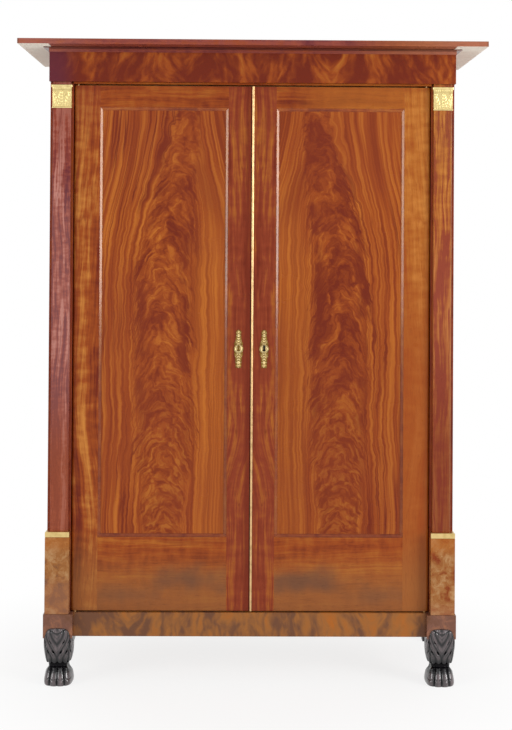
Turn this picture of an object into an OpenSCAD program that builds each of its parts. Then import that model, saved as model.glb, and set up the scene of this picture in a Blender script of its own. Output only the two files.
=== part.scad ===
// Clothes press of about 1820: two framed and panelled doors between pilasters,
// a flat oversailing cornice, and carved lion-paw front feet.
// +Z is up and the front faces -Y. The origin is on the floor, under the middle of the press.

/* [Overall] */
// Height from the floor to the top of the cornice
total_h = 2140; // [1900:10:2300]
// Width of the carcass over its sides
body_w = 1360; // [1200:10:1500]
// Depth of the carcass from the door faces to the back
body_d = 500; // [420:10:620]

/* [Cornice and frieze] */
// Thickness of the cornice board
slab_t = 18; // [14:1:30]
// Overhang of the cornice board past the carcass sides
slab_side = 94; // [40:1:110]
// Overhang of the cornice board past the frieze face
slab_front = 84; // [40:1:110]
// Height from the foot of the frieze to the cornice board
frieze_h = 114; // [90:1:160]
// How far the frieze face stands in front of the doors
frieze_proud = 35; // [28:1:50]
// Thickness of the frieze board
frieze_t = 22; // [16:1:26]
// Height of the flat band at the top of the frieze
band_h = 11; // [6:1:20]
// How far the flat band stands out
band_out = 1.5; // [1:0.5:4]
// Height of the pointed moulding under the cornice board
beak_h = 4.5; // [3:0.5:8]
// How far the pointed moulding stands out
beak_out = 19; // [10:1:30]

/* [Carcass] */
// Thickness of the side frames
side_t = 26; // [20:1:32]
// Width of the stiles and rails in the sides and the back
frame_w = 84; // [60:2:110]
// Thickness of the back frame
back_t = 18; // [14:1:24]
// Thickness of the panels in the sides and the back
thin_panel_t = 8; // [6:1:10]
// Thickness of the top board, bottom board and shelves
board_t = 22; // [18:1:28]
// Width of the front stiles behind the pilasters
front_stile_w = 78.5; // [78.5:0.5:90]
// Thickness of the front stiles and the head rail behind the door faces
front_stile_t = 30; // [28:1:36]
// Height of the head rail, most of it behind the frieze
head_rail_h = 60; // [40:2:80]
// Setback of the shelves behind the door faces
shelf_setback = 62; // [58:1:100]
// Height of a shelf bearer
bearer_h = 24; // [16:1:32]

/* [Pilasters] */
// Width of a pilaster shaft
shaft_w = 60; // [50:1:62]
// How far a shaft stands in front of the doors
shaft_proud = 20; // [14:1:24]
// Strip of carcass left showing outside a shaft
shaft_inset = 11; // [10:0.5:12]
// Height of a capital
cap_h = 78; // [60:1:100]
// Metal thickness of a capital round the shaft
cap_wrap = 1.5; // [1:0.5:2.5]
// How far the top of a capital flares out
cap_flare = 3.5; // [2:0.5:5]
// How far the leaves of a capital stand out
leaf_out = 2; // [1:0.5:3]
// Shaft left showing above a capital
cap_gap = 10; // [6:1:20]
// Height of a gilt collar
collar_h = 18; // [12:1:26]
// Height of a pedestal
pedestal_h = 254; // [200:2:320]
// Width of a pedestal
pedestal_w = 80.5; // [78:0.5:81]
// How far a pedestal stands outside the carcass side
pedestal_over = 3; // [1:0.5:5]
// How far a pedestal stands in front of the doors
pedestal_proud = 35; // [26:1:36]

/* [Base] */
// Height of the plinth and the base blocks
plinth_h = 79; // [60:1:110]
// How far the plinth rail stands in front of the doors
plinth_proud = 12; // [6:1:20]
// Thickness of the plinth front rail
plinth_t = 50; // [44:1:60]
// Thickness of the side and back rails of the plinth
plinth_rail_t = 33; // [26:1:40]
// Width of a base block
block_w = 97; // [92:1:110]
// Depth of a base block
block_d = 100; // [80:1:120]
// How far a base block stands outside the carcass side
block_over = 7; // [3:1:10]
// How far a base block stands in front of the doors
block_proud = 38; // [36:1:46]

/* [Feet] */
// Height of a foot under its base block
foot_h = 156; // [120:2:200]
// Width of a paw foot across its leaves
foot_w = 100; // [84:1:110]
// How far the paw's leaves stand in front of the base block
foot_proud = 12; // [8:1:20]
// How far the rounded top of the paw rises over the foot of the block
foot_rise = 34; // [20:1:50]
// Depth of the carved grooves between the toes
toe_depth = 5; // [2:0.5:8]
// Depth of the flutes between the leaves
leaf_depth = 4; // [1:0.5:5]
// Width of a rear foot at the top
rear_foot_w = 52; // [46:1:80]
// Width of a rear foot at the floor
rear_foot_end = 40; // [34:1:45]

/* [Doors] */
// Thickness of the doors
door_t = 26; // [24:1:28]
// Width of a hinge stile
hinge_stile_w = 88; // [76:1:110]
// Distance from the middle of the press to the edge of either panel opening
meeting_edge = 80; // [72:1:110]
// Width of a top rail
top_rail_w = 72; // [60:1:100]
// Width of a bottom rail
bottom_rail_w = 246; // [180:2:300]
// Thickness of a door panel
panel_t = 10; // [8:1:11]
// Depth of the panel face behind the door face
panel_recess = 8; // [5:0.5:8]
// Width of the moulding round a panel
bead_w = 10.5; // [8:0.5:16]
// Depth of the grooves that hold a panel
groove = 10; // [7:1:12]
// Length of a rail's tenon
tenon_l = 45; // [30:1:55]
// Gap beside a door
door_gap = 1.5; // [1:0.5:2]
// Gap under a door
foot_gap = 3.5; // [3:0.5:6]
// Gap over a door
head_gap = 4.5; // [3:0.5:7]
// Height of the head rail that shows under the frieze
head_strip = 5; // [3:1:10]
// Distance from the middle of the press to the left door's free edge
left_edge = 4; // [3.5:0.5:6]
// How far the right door's free edge passes the middle of the press
right_edge = 2; // [1:0.5:2]
// Width of the half-round brass strip
strip_w = 8.4; // [6:0.2:10]

/* [Hardware] */
// Radius of a pivot pin
pin_r = 3.5; // [2.5:0.1:3.6]
// Distance of the pivot from the door's outer edge
pivot_in = 12.5; // [12:0.1:13]
// Distance of the pivot behind the door face
pivot_back = 9; // [8.5:0.1:9.2]
// Length of a pivot plate
plate_l = 52; // [36:1:70]
// Thickness of a pivot plate
plate_t = 3; // [2:0.5:4]
// Height of the keyhole above the floor
lock_z = 1116; // [1040:2:1180]
// Distance of the escutcheons from the middle of the press
key_x = 43; // [36:1:48]
// Radius of the keyhole's round eye
key_eye = 4.4; // [3.6:0.1:5]
// Depth of the keyhole's slot under the middle of its eye
key_drop = 15; // [10:0.5:18]
// Height of an escutcheon
esc_h = 128; // [100:2:150]
// Width of an escutcheon
esc_w = 33; // [28:1:40]
// Thickness of an escutcheon
esc_t = 2.5; // [1.5:0.5:4]
// Thickness of the brass strip let into the door's edge
strip_t = 2; // [1:0.5:3]
// Width of the lock case
lock_w = 76; // [68:1:80]
// Height of the lock case
lock_h = 104; // [90:1:130]
// Depth of the lock case
lock_d = 16; // [14:1:20]
// Height of the lock bolt
bolt_h = 24; // [14:1:28]
// Thickness of the lock bolt
bolt_t = 8; // [5:0.5:9]
// Travel of the lock bolt
bolt_throw = 14; // [10:1:16]
// Radius of the rods of the two door bolts
rod_r = 4; // [3:0.5:4.5]
// Length of the rods
rod_l = 150; // [120:5:200]
// Travel of the rods
rod_throw = 14; // [10:1:16]

/* [Fits] */
// Running clearance of the pivot pins and rods
run = 0.08; // [0.03:0.01:0.1]
// Clearance of panels and tenons in their grooves
slip = 0.15; // [0.1:0.05:0.3]
// Clearance round the lock bolt in its case
bolt_slip = 0.3; // [0.2:0.05:0.4]
// Clearance round the lock bolt in its keeper
keeper_slip = 1; // [0.5:0.1:1.2]
// Clearance round the rods in their sockets
socket_slip = 0.8; // [0.5:0.1:1.2]

/* [Hidden] */
$fn = 48;

// Colours, as the old polish and the gilding show them
mahogany = "#9a4a22";
mahogany_red = "#8d3a1f";
crotch = "#a8581f";
frieze_wood = "#7c3518";
inner_wood = "#b08a5c";
ebonised = "#3a3230";
gilt = "#dcc873";
brass = "#c9a860";
iron = "#55524e";

// Depths, counted backwards from the door faces
total_d = slab_front + frieze_proud + body_d;
face_y = slab_front + frieze_proud - total_d / 2;
back_y = body_d - back_t;

// Widths, counted outwards from the middle
half_w = body_w / 2;
inner_x = half_w - side_t;
stile_x = half_w - front_stile_w;
door_x = stile_x - door_gap;
panel_x = door_x - hinge_stile_w;
shaft_x1 = half_w - shaft_inset;
shaft_x0 = shaft_x1 - shaft_w;
pedestal_x1 = half_w + pedestal_over;
pedestal_x0 = pedestal_x1 - pedestal_w;
block_x1 = half_w + block_over;
block_x0 = block_x1 - block_w;
pivot_x = door_x - pivot_in;

// Heights, counted from the floor
block_z = foot_h;
base_z = foot_h + plinth_h;
slab_z = total_h - slab_t;
frieze_z = slab_z - frieze_h;
head_z = frieze_z - head_strip;
door_z0 = base_z + foot_gap;
door_z1 = head_z - head_gap;
pedestal_z = base_z + pedestal_h;
collar_z = pedestal_z + collar_h;
cap_z1 = frieze_z - cap_gap;
cap_z0 = cap_z1 - cap_h;
panel_z0 = door_z0 + bottom_rail_w;
panel_z1 = door_z1 - top_rail_w;
floor_z = base_z + board_t;
ceiling_z = head_z - board_t;

// The boards that the doors close against, and their front corners, which are cut back
// clear of the front stiles and of the turning hinge stiles
stop_y = door_t + 1;
corner_x = door_x - door_t - 18;
corner_y = front_stile_t + 6;

// Joinery: a panel stops short of the foot of its groove, a tenon short of its mortise,
// and a tenon is set in from the end of its stile by the haunch
panel_end = 0.5;
tenon_end = 0.5;
haunch = 0.25 * top_rail_w;

// Shelves
shelf_n = 4;
shelf_pitch = (ceiling_z - floor_z + board_t) / (shelf_n + 1);
shelf_end = inner_x - 1;

// Pivot plates
plate_w = 12;
plate_x1 = pivot_x + pin_r + 4;
pin_l = 12;
shoulder_r = pin_r + 2.3;

// Lock and bolts
lock_x0 = 1;
lock_z0 = lock_z - 0.46 * lock_h;
lock_wall = 3;
chamber_r = 15;
bolt_x0 = lock_x0 + 0.5;
bolt_l = 0.75 * lock_w;
bolt_z = lock_z + 20;
bolt_y = door_t + lock_d / 2;
keeper_w = bolt_throw + 2 * lock_wall;
rod_x = -(left_edge + meeting_edge) / 2;
rod_y = door_t + rod_r + 6;
guide_t = 2;
guide_l = 0.8 * rod_l;
socket_w = 2 * (rod_r + socket_slip);
socket_l = rod_throw + 2;
keeper_plate = [36, 4 * rod_r, 2];
tip_gap = 1;

// Moves a piece from the door-face plane to its place in the press, and colours it
module at_face(c) {
    color(c)
        translate([0, face_y, 0])
            children();
}

// A straight-sided piece from its lowest to its highest corner
module block(lo, hi) {
    translate(lo)
        cube(hi - lo);
}

// The same piece for the right side, or mirrored for the left
module on_side(s) {
    mirror([s < 0 ? 1 : 0, 0, 0])
        children();
}

// A piece of plain plan (x, y) standing from z0 to z1
module upright(z0, z1) {
    translate([0, 0, z0])
        linear_extrude(z1 - z0)
            children();
}

// CORNICE AND FRIEZE

module cornice_board() {
    r = slab_t / 9;
    at_face(mahogany_red)
        intersection() {
            // the section from front to back, with its front arrises eased
            translate([-half_w - slab_side, 0, slab_z])
                rotate([90, 0, 90])
                    linear_extrude(body_w + 2 * slab_side)
                        eased_edge(-frieze_proud - slab_front, body_d, slab_t, r, false);
            // the section from side to side, with both ends eased
            translate([0, body_d, slab_z])
                rotate([90, 0, 0])
                    linear_extrude(total_d)
                        eased_edge(-half_w - slab_side, half_w + slab_side, slab_t, r, true);
        }
}

// Rectangle from x0 to x1 with its left arrises rounded, and the right ones too if both is true
module eased_edge(x0, x1, t, r, both) {
    x2 = both ? x1 - r : x1;
    translate([x0 + r, 0])
        square([x2 - x0 - r, t]);
    translate([x0, r])
        square([x1 - x0, t - 2 * r]);
    for (x = both ? [x0 + r, x1 - r] : [x0 + r])
        for (z = [r, t - r])
            translate([x, z])
                circle(r);
}

// Section of the moulding under the cornice: a flat band with a pointed beak over it
module bed_section() {
    polygon([
        [0, 0], [band_out, 0], [band_out, band_h], [0.95 * beak_out, band_h + 0.45 * beak_h],
        [beak_out, band_h + 0.6 * beak_h], [0.85 * beak_out, band_h + beak_h],
        [0, band_h + beak_h]
    ]);
}

// Three mitred lengths of the moulding, round the front and the sides
module bed_moulding() {
    z = slab_z - band_h - beak_h;
    far = half_w + beak_out;
    at_face(mahogany_red) {
        intersection() {
            translate([-far, -frieze_proud, z])
                rotate([90, 0, 90])
                    linear_extrude(2 * far)
                        mirror([1, 0])
                            bed_section();
            upright(z, slab_z)
                polygon([
                    [-half_w, -frieze_proud], [-far, -frieze_proud - beak_out],
                    [far, -frieze_proud - beak_out], [half_w, -frieze_proud]
                ]);
        }
        for (s = [-1, 1])
            on_side(s)
                intersection() {
                    translate([half_w, body_d, z])
                        rotate([90, 0, 0])
                            linear_extrude(body_d + frieze_proud + beak_out)
                                bed_section();
                    upright(z, slab_z)
                        polygon([
                            [half_w, -frieze_proud], [far, -frieze_proud - beak_out],
                            [far, body_d], [half_w, body_d]
                        ]);
                }
    }
}

module frieze_front() {
    at_face(frieze_wood)
        block([-half_w, -frieze_proud, frieze_z], [half_w, frieze_t - frieze_proud, slab_z]);
}

module frieze_returns() {
    at_face(frieze_wood)
        for (s = [-1, 1])
            on_side(s)
                block([inner_x, frieze_t - frieze_proud, frieze_z], [half_w, body_d, slab_z]);
}

// Rail over the doors, behind the frieze, with the upper pivots let into its underside
module head_rail() {
    at_face(frieze_wood)
        difference() {
            block(
                [-stile_x, frieze_t - frieze_proud, head_z],
                [stile_x, front_stile_t, head_z + head_rail_h]
            );
            for (s = [-1, 1])
                on_side(s)
                    plate_blank(head_z, head_z + plate_t);
        }
}

// CARCASS

// Board with its front corners cut back, clear of the front stiles and the turning doors
module notched_board(z0, z1) {
    upright(z0, z1)
        polygon([
            [-corner_x, stop_y], [corner_x, stop_y], [corner_x, corner_y], [inner_x, corner_y],
            [inner_x, back_y], [-inner_x, back_y], [-inner_x, corner_y], [-corner_x, corner_y]
        ]);
}

// The two boards take the rods of the left door's bolts
module top_board() {
    at_face(inner_wood)
        difference() {
            notched_board(ceiling_z, head_z);
            keeper_blank(ceiling_z);
            rod_socket(ceiling_z, ceiling_z + socket_l);
        }
}

module bottom_board() {
    at_face(inner_wood)
        difference() {
            notched_board(base_z, floor_z);
            keeper_blank(floor_z - keeper_plate.z);
            rod_socket(floor_z - socket_l, floor_z);
        }
}

// Square mortise for a rod, from z0 to z1
module rod_socket(z0, z1) {
    block(
        [rod_x - socket_w / 2, rod_y - socket_w / 2, z0],
        [rod_x + socket_w / 2, rod_y + socket_w / 2, z1]
    );
}

// Recess and outline of a bolt's keeper plate, from z upwards
module keeper_blank(z) {
    translate([rod_x - keeper_plate.x / 2, rod_y - keeper_plate.y / 2, z])
        cube(keeper_plate);
}

module bolt_keepers() {
    at_face(brass)
        for (z = [ceiling_z, floor_z - keeper_plate.z])
            difference() {
                keeper_blank(z);
                rod_socket(z - 1, z + keeper_plate.z + 1);
            }
}

// Flat frame with a middle rail in the plane (u, v), from lo to hi, t thick
module panelled_frame(lo, hi, t, mids) {
    difference() {
        linear_extrude(t)
            difference() {
                translate(lo)
                    square(hi - lo);
                for (w = frame_windows(lo, hi, mids))
                    translate(w[0])
                        square(w[1] - w[0]);
            }
        // grooves for the panels
        for (w = frame_windows(lo, hi, mids))
            thin_panel(w, groove, t / 2, thin_panel_t + 2 * slip);
    }
}

module frame_panels(lo, hi, t, mids) {
    for (w = frame_windows(lo, hi, mids))
        thin_panel(w, groove - panel_end, t / 2, thin_panel_t);
}

// Panel over window w and e past its edges, t thick about height mid
module thin_panel(w, e, mid, t) {
    block([w[0].x - e, w[0].y - e, mid - t / 2], [w[1].x + e, w[1].y + e, mid + t / 2]);
}

// The openings of a frame, in one or two columns and two rows
function frame_windows(lo, hi, mids) =
    let (um = (lo.x + hi.x) / 2, vm = (lo.y + hi.y) / 2, h = frame_w / 2)
    let (us = mids > 1 ? [[lo.x + frame_w, um - h], [um + h, hi.x - frame_w]]
                       : [[lo.x + frame_w, hi.x - frame_w]])
    let (vs = [[lo.y + frame_w, vm - h], [vm + h, hi.y - frame_w]])
    [for (u = us) for (v = vs) [[u[0], v[0]], [u[1], v[1]]]];

// Lays the frame's plane (u, v) on the inner face of the right side, as (y, z)
module as_side() {
    translate([inner_x, 0, 0])
        rotate([90, 0, 90])
            children();
}

// Lays the frame's plane (u, v) on the back, as (x, z)
module as_back() {
    translate([0, body_d, 0])
        rotate([90, 0, 0])
            children();
}

module side_frame(s) {
    at_face(mahogany)
        on_side(s)
            as_side()
                panelled_frame([front_stile_t, base_z], [body_d, frieze_z], side_t, 1);
}

module side_panels(s) {
    at_face(crotch)
        on_side(s)
            as_side()
                frame_panels([front_stile_t, base_z], [body_d, frieze_z], side_t, 1);
}

module back_frame() {
    at_face(inner_wood)
        as_back()
            panelled_frame([-inner_x, base_z], [inner_x, slab_z], back_t, 2);
}

module back_panels() {
    at_face(inner_wood)
        as_back()
            frame_panels([-inner_x, base_z], [inner_x, slab_z], back_t, 2);
}

module front_stile(s) {
    at_face(mahogany_red)
        on_side(s)
            block([stile_x, 0, base_z], [half_w, front_stile_t, frieze_z]);
}

module shelf(i) {
    z = floor_z + i * shelf_pitch - board_t;
    at_face(inner_wood)
        block([-shelf_end, shelf_setback, z], [shelf_end, back_y - 2, z + board_t]);
}

// A bearer under each end of every shelf
module shelf_bearers() {
    at_face(inner_wood)
        for (s = [-1, 1])
            on_side(s)
                for (i = [1:shelf_n]) {
                    z = floor_z + i * shelf_pitch - board_t;
                    block([inner_x - side_t, shelf_setback + 20, z - bearer_h], [inner_x, back_y, z]);
                }
}

// PILASTERS

module pilaster(s) {
    at_face(mahogany)
        on_side(s)
            block([shaft_x0, -shaft_proud, collar_z], [shaft_x1, 0, frieze_z]);
}

// Gilt capital: a sleeve on the three open faces of the shaft, flared at the top,
// with a bead at its foot and a fan of leaves on its front
module capital(s) {
    w = shaft_w / 2 + cap_wrap;
    d = shaft_proud + cap_wrap;
    at_face(gilt)
        on_side(s)
            translate([(shaft_x0 + shaft_x1) / 2, 0, cap_z0])
                union() {
                    difference() {
                        intersection() {
                            rotate([90, 0, 0])
                                linear_extrude(d + 2 * cap_flare)
                                    union() {
                                        capital_outline(w);
                                        mirror([1, 0])
                                            capital_outline(w);
                                    }
                            translate([-w - 2 * cap_flare, 0, 0])
                                rotate([90, 0, 90])
                                    linear_extrude(2 * w + 4 * cap_flare)
                                        mirror([1, 0])
                                            capital_outline(d);
                        }
                        block([-shaft_w / 2, -shaft_proud, -1], [shaft_w / 2, 1, cap_h + 1]);
                    }
                    translate([0, cap_wrap - d, 0])
                        rotate([90, 0, 0])
                            linear_extrude(cap_wrap + leaf_out)
                                leaf_fan(0.62 * cap_h, 0.16 * cap_h);
                }
}

// Half outline of a capital, w wide at its body: bead, body, hollow flare and flat top
module capital_outline(w) {
    bead = 0.035 * cap_h;
    flare_z = 0.8 * cap_h;
    top_t = 0.09 * cap_h;
    difference() {
        union() {
            square([w, cap_h]);
            translate([w - 0.4 * bead, bead])
                circle(bead);
            translate([0, flare_z])
                square([w + cap_flare, cap_h - flare_z]);
        }
        // hollow under the flat top
        translate([w + cap_flare + 0.5, flare_z])
            flare_hollow(cap_flare + 0.5, cap_h - top_t - flare_z);
    }
}

// Hollow of a flare, drawn as a true arc that rises h over a depth of d
module flare_hollow(d, h) {
    r = (d * d + h * h) / (2 * d);
    translate([r - d, 0])
        intersection() {
            circle(r);
            translate([-r, 0])
                square([d, h]);
        }
}

// Fan of five leaves, each the overlap of two circles, over a round boss at height z
module leaf_fan(h, z) {
    translate([0, z]) {
        circle(0.1 * h);
        for (a = [-60, -30, 0, 30, 60])
            rotate(a)
                leaf((1 - 0.3 * abs(sin(a))) * h, 0.2 * h);
    }
}

// Pointed leaf of length l and width w with its foot at the origin
module leaf(l, w) {
    r = (l * l / 4 + w * w / 4) / w;
    intersection() {
        translate([r - w / 2, l / 2])
            circle(r, $fn = 64);
        translate([w / 2 - r, l / 2])
            circle(r, $fn = 64);
    }
}

// Gilt cap of each pedestal, which the shaft stands on
module pedestal_collars() {
    r = collar_h / 8;
    w = pedestal_w;
    at_face(gilt)
        for (s = [-1, 1])
            on_side(s)
                intersection() {
                    translate([pedestal_x0, 0, pedestal_z])
                        rotate([90, 0, 0])
                            linear_extrude(pedestal_proud)
                                eased_edge(0, w, collar_h, r, true);
                    translate([pedestal_x0, 0, pedestal_z])
                        rotate([90, 0, 90])
                            linear_extrude(w)
                                eased_edge(-pedestal_proud, 0, collar_h, r, false);
                }
}

module pedestal(s) {
    at_face(crotch)
        on_side(s)
            block([pedestal_x0, -pedestal_proud, base_z], [pedestal_x1, 0, pedestal_z]);
}

// BASE AND FEET

module plinth_front_rail() {
    at_face(crotch)
        difference() {
            block([-block_x0, -plinth_proud, block_z], [block_x0, plinth_t - plinth_proud, base_z]);
            for (s = [-1, 1])
                on_side(s)
                    plate_blank(base_z - plate_t, base_z);
        }
}

module base_block(s) {
    at_face(crotch)
        on_side(s)
            difference() {
                block([block_x0, -block_proud, block_z], [block_x1, block_d - block_proud, base_z]);
                plate_blank(base_z - plate_t, base_z);
            }
}

module plinth_side_rails() {
    x1 = half_w + pedestal_over;
    at_face(mahogany)
        for (s = [-1, 1])
            on_side(s)
                block([x1 - plinth_rail_t, block_d - block_proud, block_z], [x1, body_d, base_z]);
}

module plinth_back_rail() {
    x = half_w + pedestal_over - plinth_rail_t;
    at_face(inner_wood)
        block([-x, body_d - plinth_rail_t, block_z], [x, body_d, base_z]);
}

// Plain rear feet, tapered on their two inner faces
module rear_feet() {
    x1 = half_w + pedestal_over;
    taper = rear_foot_w - rear_foot_end;
    at_face(ebonised)
        for (s = [-1, 1])
            on_side(s)
                intersection() {
                    translate([0, body_d, 0])
                        rotate([90, 0, 0])
                            linear_extrude(rear_foot_w)
                                polygon([
                                    [x1 - rear_foot_w + taper, 0], [x1, 0],
                                    [x1, foot_h], [x1 - rear_foot_w, foot_h]
                                ]);
                    translate([x1 - rear_foot_w, 0, 0])
                        rotate([90, 0, 90])
                            linear_extrude(rear_foot_w)
                                polygon([
                                    [body_d - rear_foot_w + taper, 0], [body_d, 0],
                                    [body_d, foot_h], [body_d - rear_foot_w, foot_h]
                                ]);
                }
}

// The paw is lofted from sections that follow these profiles, each a list of
// [height as a share of the foot's height, share of the foot's half width or reach]
paw_side = [[0, 0.88], [0.08, 0.94], [0.2, 0.91], [0.36, 0.81], [0.43, 0.77], [0.5, 0.86],
            [0.62, 0.95], [0.76, 1], [2, 1]];
paw_front = [[0, 0.98], [0.1, 1.06], [0.18, 0.99], [0.27, 0.99], [0.36, 0.86], [0.43, 0.74],
             [0.5, 0.82], [0.62, 0.91], [0.8, 0.98], [1, 1], [2, 1]];
paw_rear = [[0, 0.84], [0.2, 0.82], [0.43, 0.72], [0.62, 0.86], [0.8, 0.97], [2, 1]];
paw_rings = 34;
paw_sides = 80;
paw_yc = block_d / 2 - block_proud;
paw_heel = 0.48 * block_d;
paw_top = foot_h + foot_rise;
leaf_count = 10;
// The side of the loft, counted from the front, where the outer toes part from the inner ones
toe_side = 8;

// A profile softened over its corners
function soft(u, table) =
    (lookup(u - 0.03, table) + 2 * lookup(u, table) + lookup(u + 0.03, table)) / 4;

// 0 below a, 1 above b, and smooth between them
function ease(a, b, v) = let (k = min(1, max(0, (v - a) / (b - a)))) k * k * (3 - 2 * k);

// Rounded-square section: the sine or cosine of an angle, pressed outwards
function square_out(v) = sign(v) * pow(abs(v), 0.72);

// Closing of the rounded top, from 1 at the block's foot to 0 at the top of the paw
function dome(z) =
    let (z0 = 0.96 * foot_h, k = max(0, (z - z0) / (paw_top - z0)))
    pow(max(0, 1 - pow(k, 3)), 1 / 3);

// Row of round ridges with sharp grooves between them: 0 on a ridge and 1 in a groove
function ridge(v) = let (k = 2 * (v - floor(v)) - 1) 1 - sqrt(max(0, 1 - k * k));

// Turn of side j of the loft from the front, with the sides closer together at the front
function paw_turn(j) = let (t = j * 360 / paw_sides) t - 20 * sin(t);

// Height of ring i of the loft, with the rings closer together at the toes and the rounded top
function paw_ring(i) = let (k = i / paw_rings) paw_top * (k - 0.07 * sin(360 * k));

// How deep the carving cuts on side j of the loft at height z. The toes lie side by side
// across the front. Over the ankle a row of leaves stands up, and a second row,
// set between them, ends under the rounded top.
function carving(j, z) =
    let (u = z / foot_h, t = paw_turn(j), leaf = leaf_count * j / paw_sides)
    let (toe = square_out(sin(t)) / square_out(sin(paw_turn(toe_side))))
    let (toes = ridge(toe) * (1 - ease(0.34, 0.45, u)) * ease(-0.2, 0.35, cos(t)))
    let (lower = ridge(leaf + 0.5) * ease(0.43, 0.5, u) * (1 - ease(0.66, 0.76, u)))
    let (upper = ridge(leaf) * ease(0.66, 0.76, u) * (1 - ease(0.96, 1.12, u)))
    toe_depth * toes + leaf_depth * (lower + upper);

// Point of the paw's surface on side j of the loft at height z
function paw_point(j, z) =
    let (u = z / foot_h, t = paw_turn(j), top = dome(z))
    let (a = foot_w / 2 * soft(u, paw_side) * max(top, 0.3))
    let (front = (block_d / 2 + foot_proud * top) * soft(u, paw_front))
    let (b = cos(t) > 0 ? front : paw_heel * soft(u, paw_rear))
    let (x = a * square_out(sin(t)), y = -b * square_out(cos(t)))
    let (k = 1 - carving(j, z) / max(norm([x, y]), 0.12 * foot_w))
    [x * k, paw_yc + y * k, z];

// Carved lion-paw foot: four toes, a pinched ankle, fluted leaves and a rounded top
// that rises in front of the base block, which is seated in it
module paw_foot(s) {
    points = [for (i = [0:paw_rings]) for (j = [0:paw_sides - 1]) paw_point(j, paw_ring(i))];
    at_face(ebonised)
        on_side(s)
            difference() {
                translate([(block_x0 + block_x1) / 2, 0, 0])
                    polyhedron(points = points, faces = loft_faces(paw_rings, paw_sides), convexity = 8);
                block([block_x0 - 20, -block_proud, block_z], [block_x1 + 20, body_d, base_z + 20]);
            }
}

// Triangles of a closed loft with n sides and m spaces between its rings
function loft_faces(m, n) = concat(
    [[for (j = [0:n - 1]) j]],
    [for (i = [0:m - 1]) for (j = [0:n - 1]) let (a = i * n, b = a + n, k = (j + 1) % n)
        [a + j, b + j, b + k]],
    [for (i = [0:m - 1]) for (j = [0:n - 1]) let (a = i * n, b = a + n, k = (j + 1) % n)
        [a + j, b + k, a + k]],
    [[for (j = [0:n - 1]) m * n + n - 1 - j]]
);

// PIVOTS

// Outline of a pivot plate round the pivot's axis, from z0 to z1
module plate_blank(z0, z1) {
    block([plate_x1 - plate_l, pivot_back - plate_w / 2, z0], [plate_x1, pivot_back + plate_w / 2, z1]);
}

// A length of round bar on the pivot's axis
module on_pivot(r, z0, z1) {
    translate([pivot_x, pivot_back, z0])
        cylinder(r = r, h = z1 - z0);
}

// Plates let into the plinth and the head rail, with the pins that the doors turn on.
// The lower pins have a shoulder that carries the door.
module carcass_pivots() {
    at_face(brass)
        for (s = [-1, 1])
            on_side(s) {
                plate_blank(base_z - plate_t, base_z);
                on_pivot(shoulder_r, base_z, door_z0 - 0.1);
                on_pivot(pin_r, base_z - plate_t, door_z0 + pin_l);
                plate_blank(head_z, head_z + plate_t);
                on_pivot(pin_r, door_z1 - pin_l, head_z + plate_t);
            }
}

module pivot_plates(s) {
    at_face(brass)
        on_side(s)
            for (z = [door_z0, door_z1 - plate_t])
                difference() {
                    plate_blank(z, z + plate_t);
                    on_pivot(pin_r + run, z - 1, z + plate_t + 1);
                }
}

// DOORS
// Each door is drawn for the right side, from its outer edge at door_x
// to its free edge at free_x, and mirrored for the left.

function free_x(s) = s < 0 ? left_edge : -right_edge;

// Groove for the panel, cut into the frame round the opening
module panel_groove() {
    block(
        [meeting_edge - groove, panel_recess - slip, panel_z0 - groove],
        [panel_x + groove, panel_recess + panel_t + slip, panel_z1 + groove]
    );
}

// Tenons of the two rails, or with a clearance the mortises for them
module tenons(gap, end_gap) {
    y0 = panel_recess - gap;
    y1 = panel_recess + panel_t + gap;
    x0 = meeting_edge - tenon_l - end_gap;
    x1 = panel_x + tenon_l + end_gap;
    for (z = [[door_z0 + haunch, panel_z0 - groove], [panel_z1 + groove, door_z1 - haunch]])
        block([x0, y0, z[0] - gap], [x1, y1, z[1] + gap]);
}

module hinge_stile(s) {
    r = pivot_back;
    at_face(mahogany)
        on_side(s)
            difference() {
                // the outer front arris is rounded, so that it turns clear of the pedestal
                upright(door_z0, door_z1)
                    union() {
                        translate([panel_x, 0])
                            square([hinge_stile_w - r, door_t]);
                        translate([panel_x, r])
                            square([hinge_stile_w, door_t - r]);
                        translate([door_x - r, r])
                            circle(r);
                    }
                panel_groove();
                tenons(slip, tenon_end);
                for (z = [door_z0, door_z1 - plate_t])
                    plate_blank(z, z + plate_t);
                on_pivot(pin_r + 1, door_z0, door_z0 + pin_l + 2);
                on_pivot(pin_r + 1, door_z1 - pin_l - 2, door_z1);
            }
}

module meeting_stile(s) {
    at_face(mahogany_red)
        on_side(s)
            difference() {
                block([free_x(s), 0, door_z0], [meeting_edge, door_t, door_z1]);
                panel_groove();
                tenons(slip, tenon_end);
                // seat of the brass strip, and the keyhole
                if (s > 0) {
                    block(
                        [-right_edge - 1, -1, door_z0 - 1],
                        [strip_w - right_edge, strip_t, door_z1 + 1]
                    );
                    keyhole_cut(door_t + 1, 1);
                }
            }
}

module door_rail(s, z0, z1) {
    at_face(mahogany)
        on_side(s)
            difference() {
                union() {
                    block([meeting_edge, 0, z0], [panel_x, door_t, z1]);
                    intersection() {
                        tenons(0, 0);
                        block([0, 0, z0], [door_x, door_t, z1]);
                    }
                }
                panel_groove();
            }
}

module top_rail(s) {
    door_rail(s, panel_z1, door_z1);
}

module bottom_rail(s) {
    door_rail(s, door_z0, panel_z0);
}

module door_panel(s) {
    e = groove - panel_end;
    at_face(crotch)
        on_side(s)
            block(
                [meeting_edge - e, panel_recess, panel_z0 - e],
                [panel_x + e, panel_recess + panel_t, panel_z1 + e]
            );
}

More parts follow.
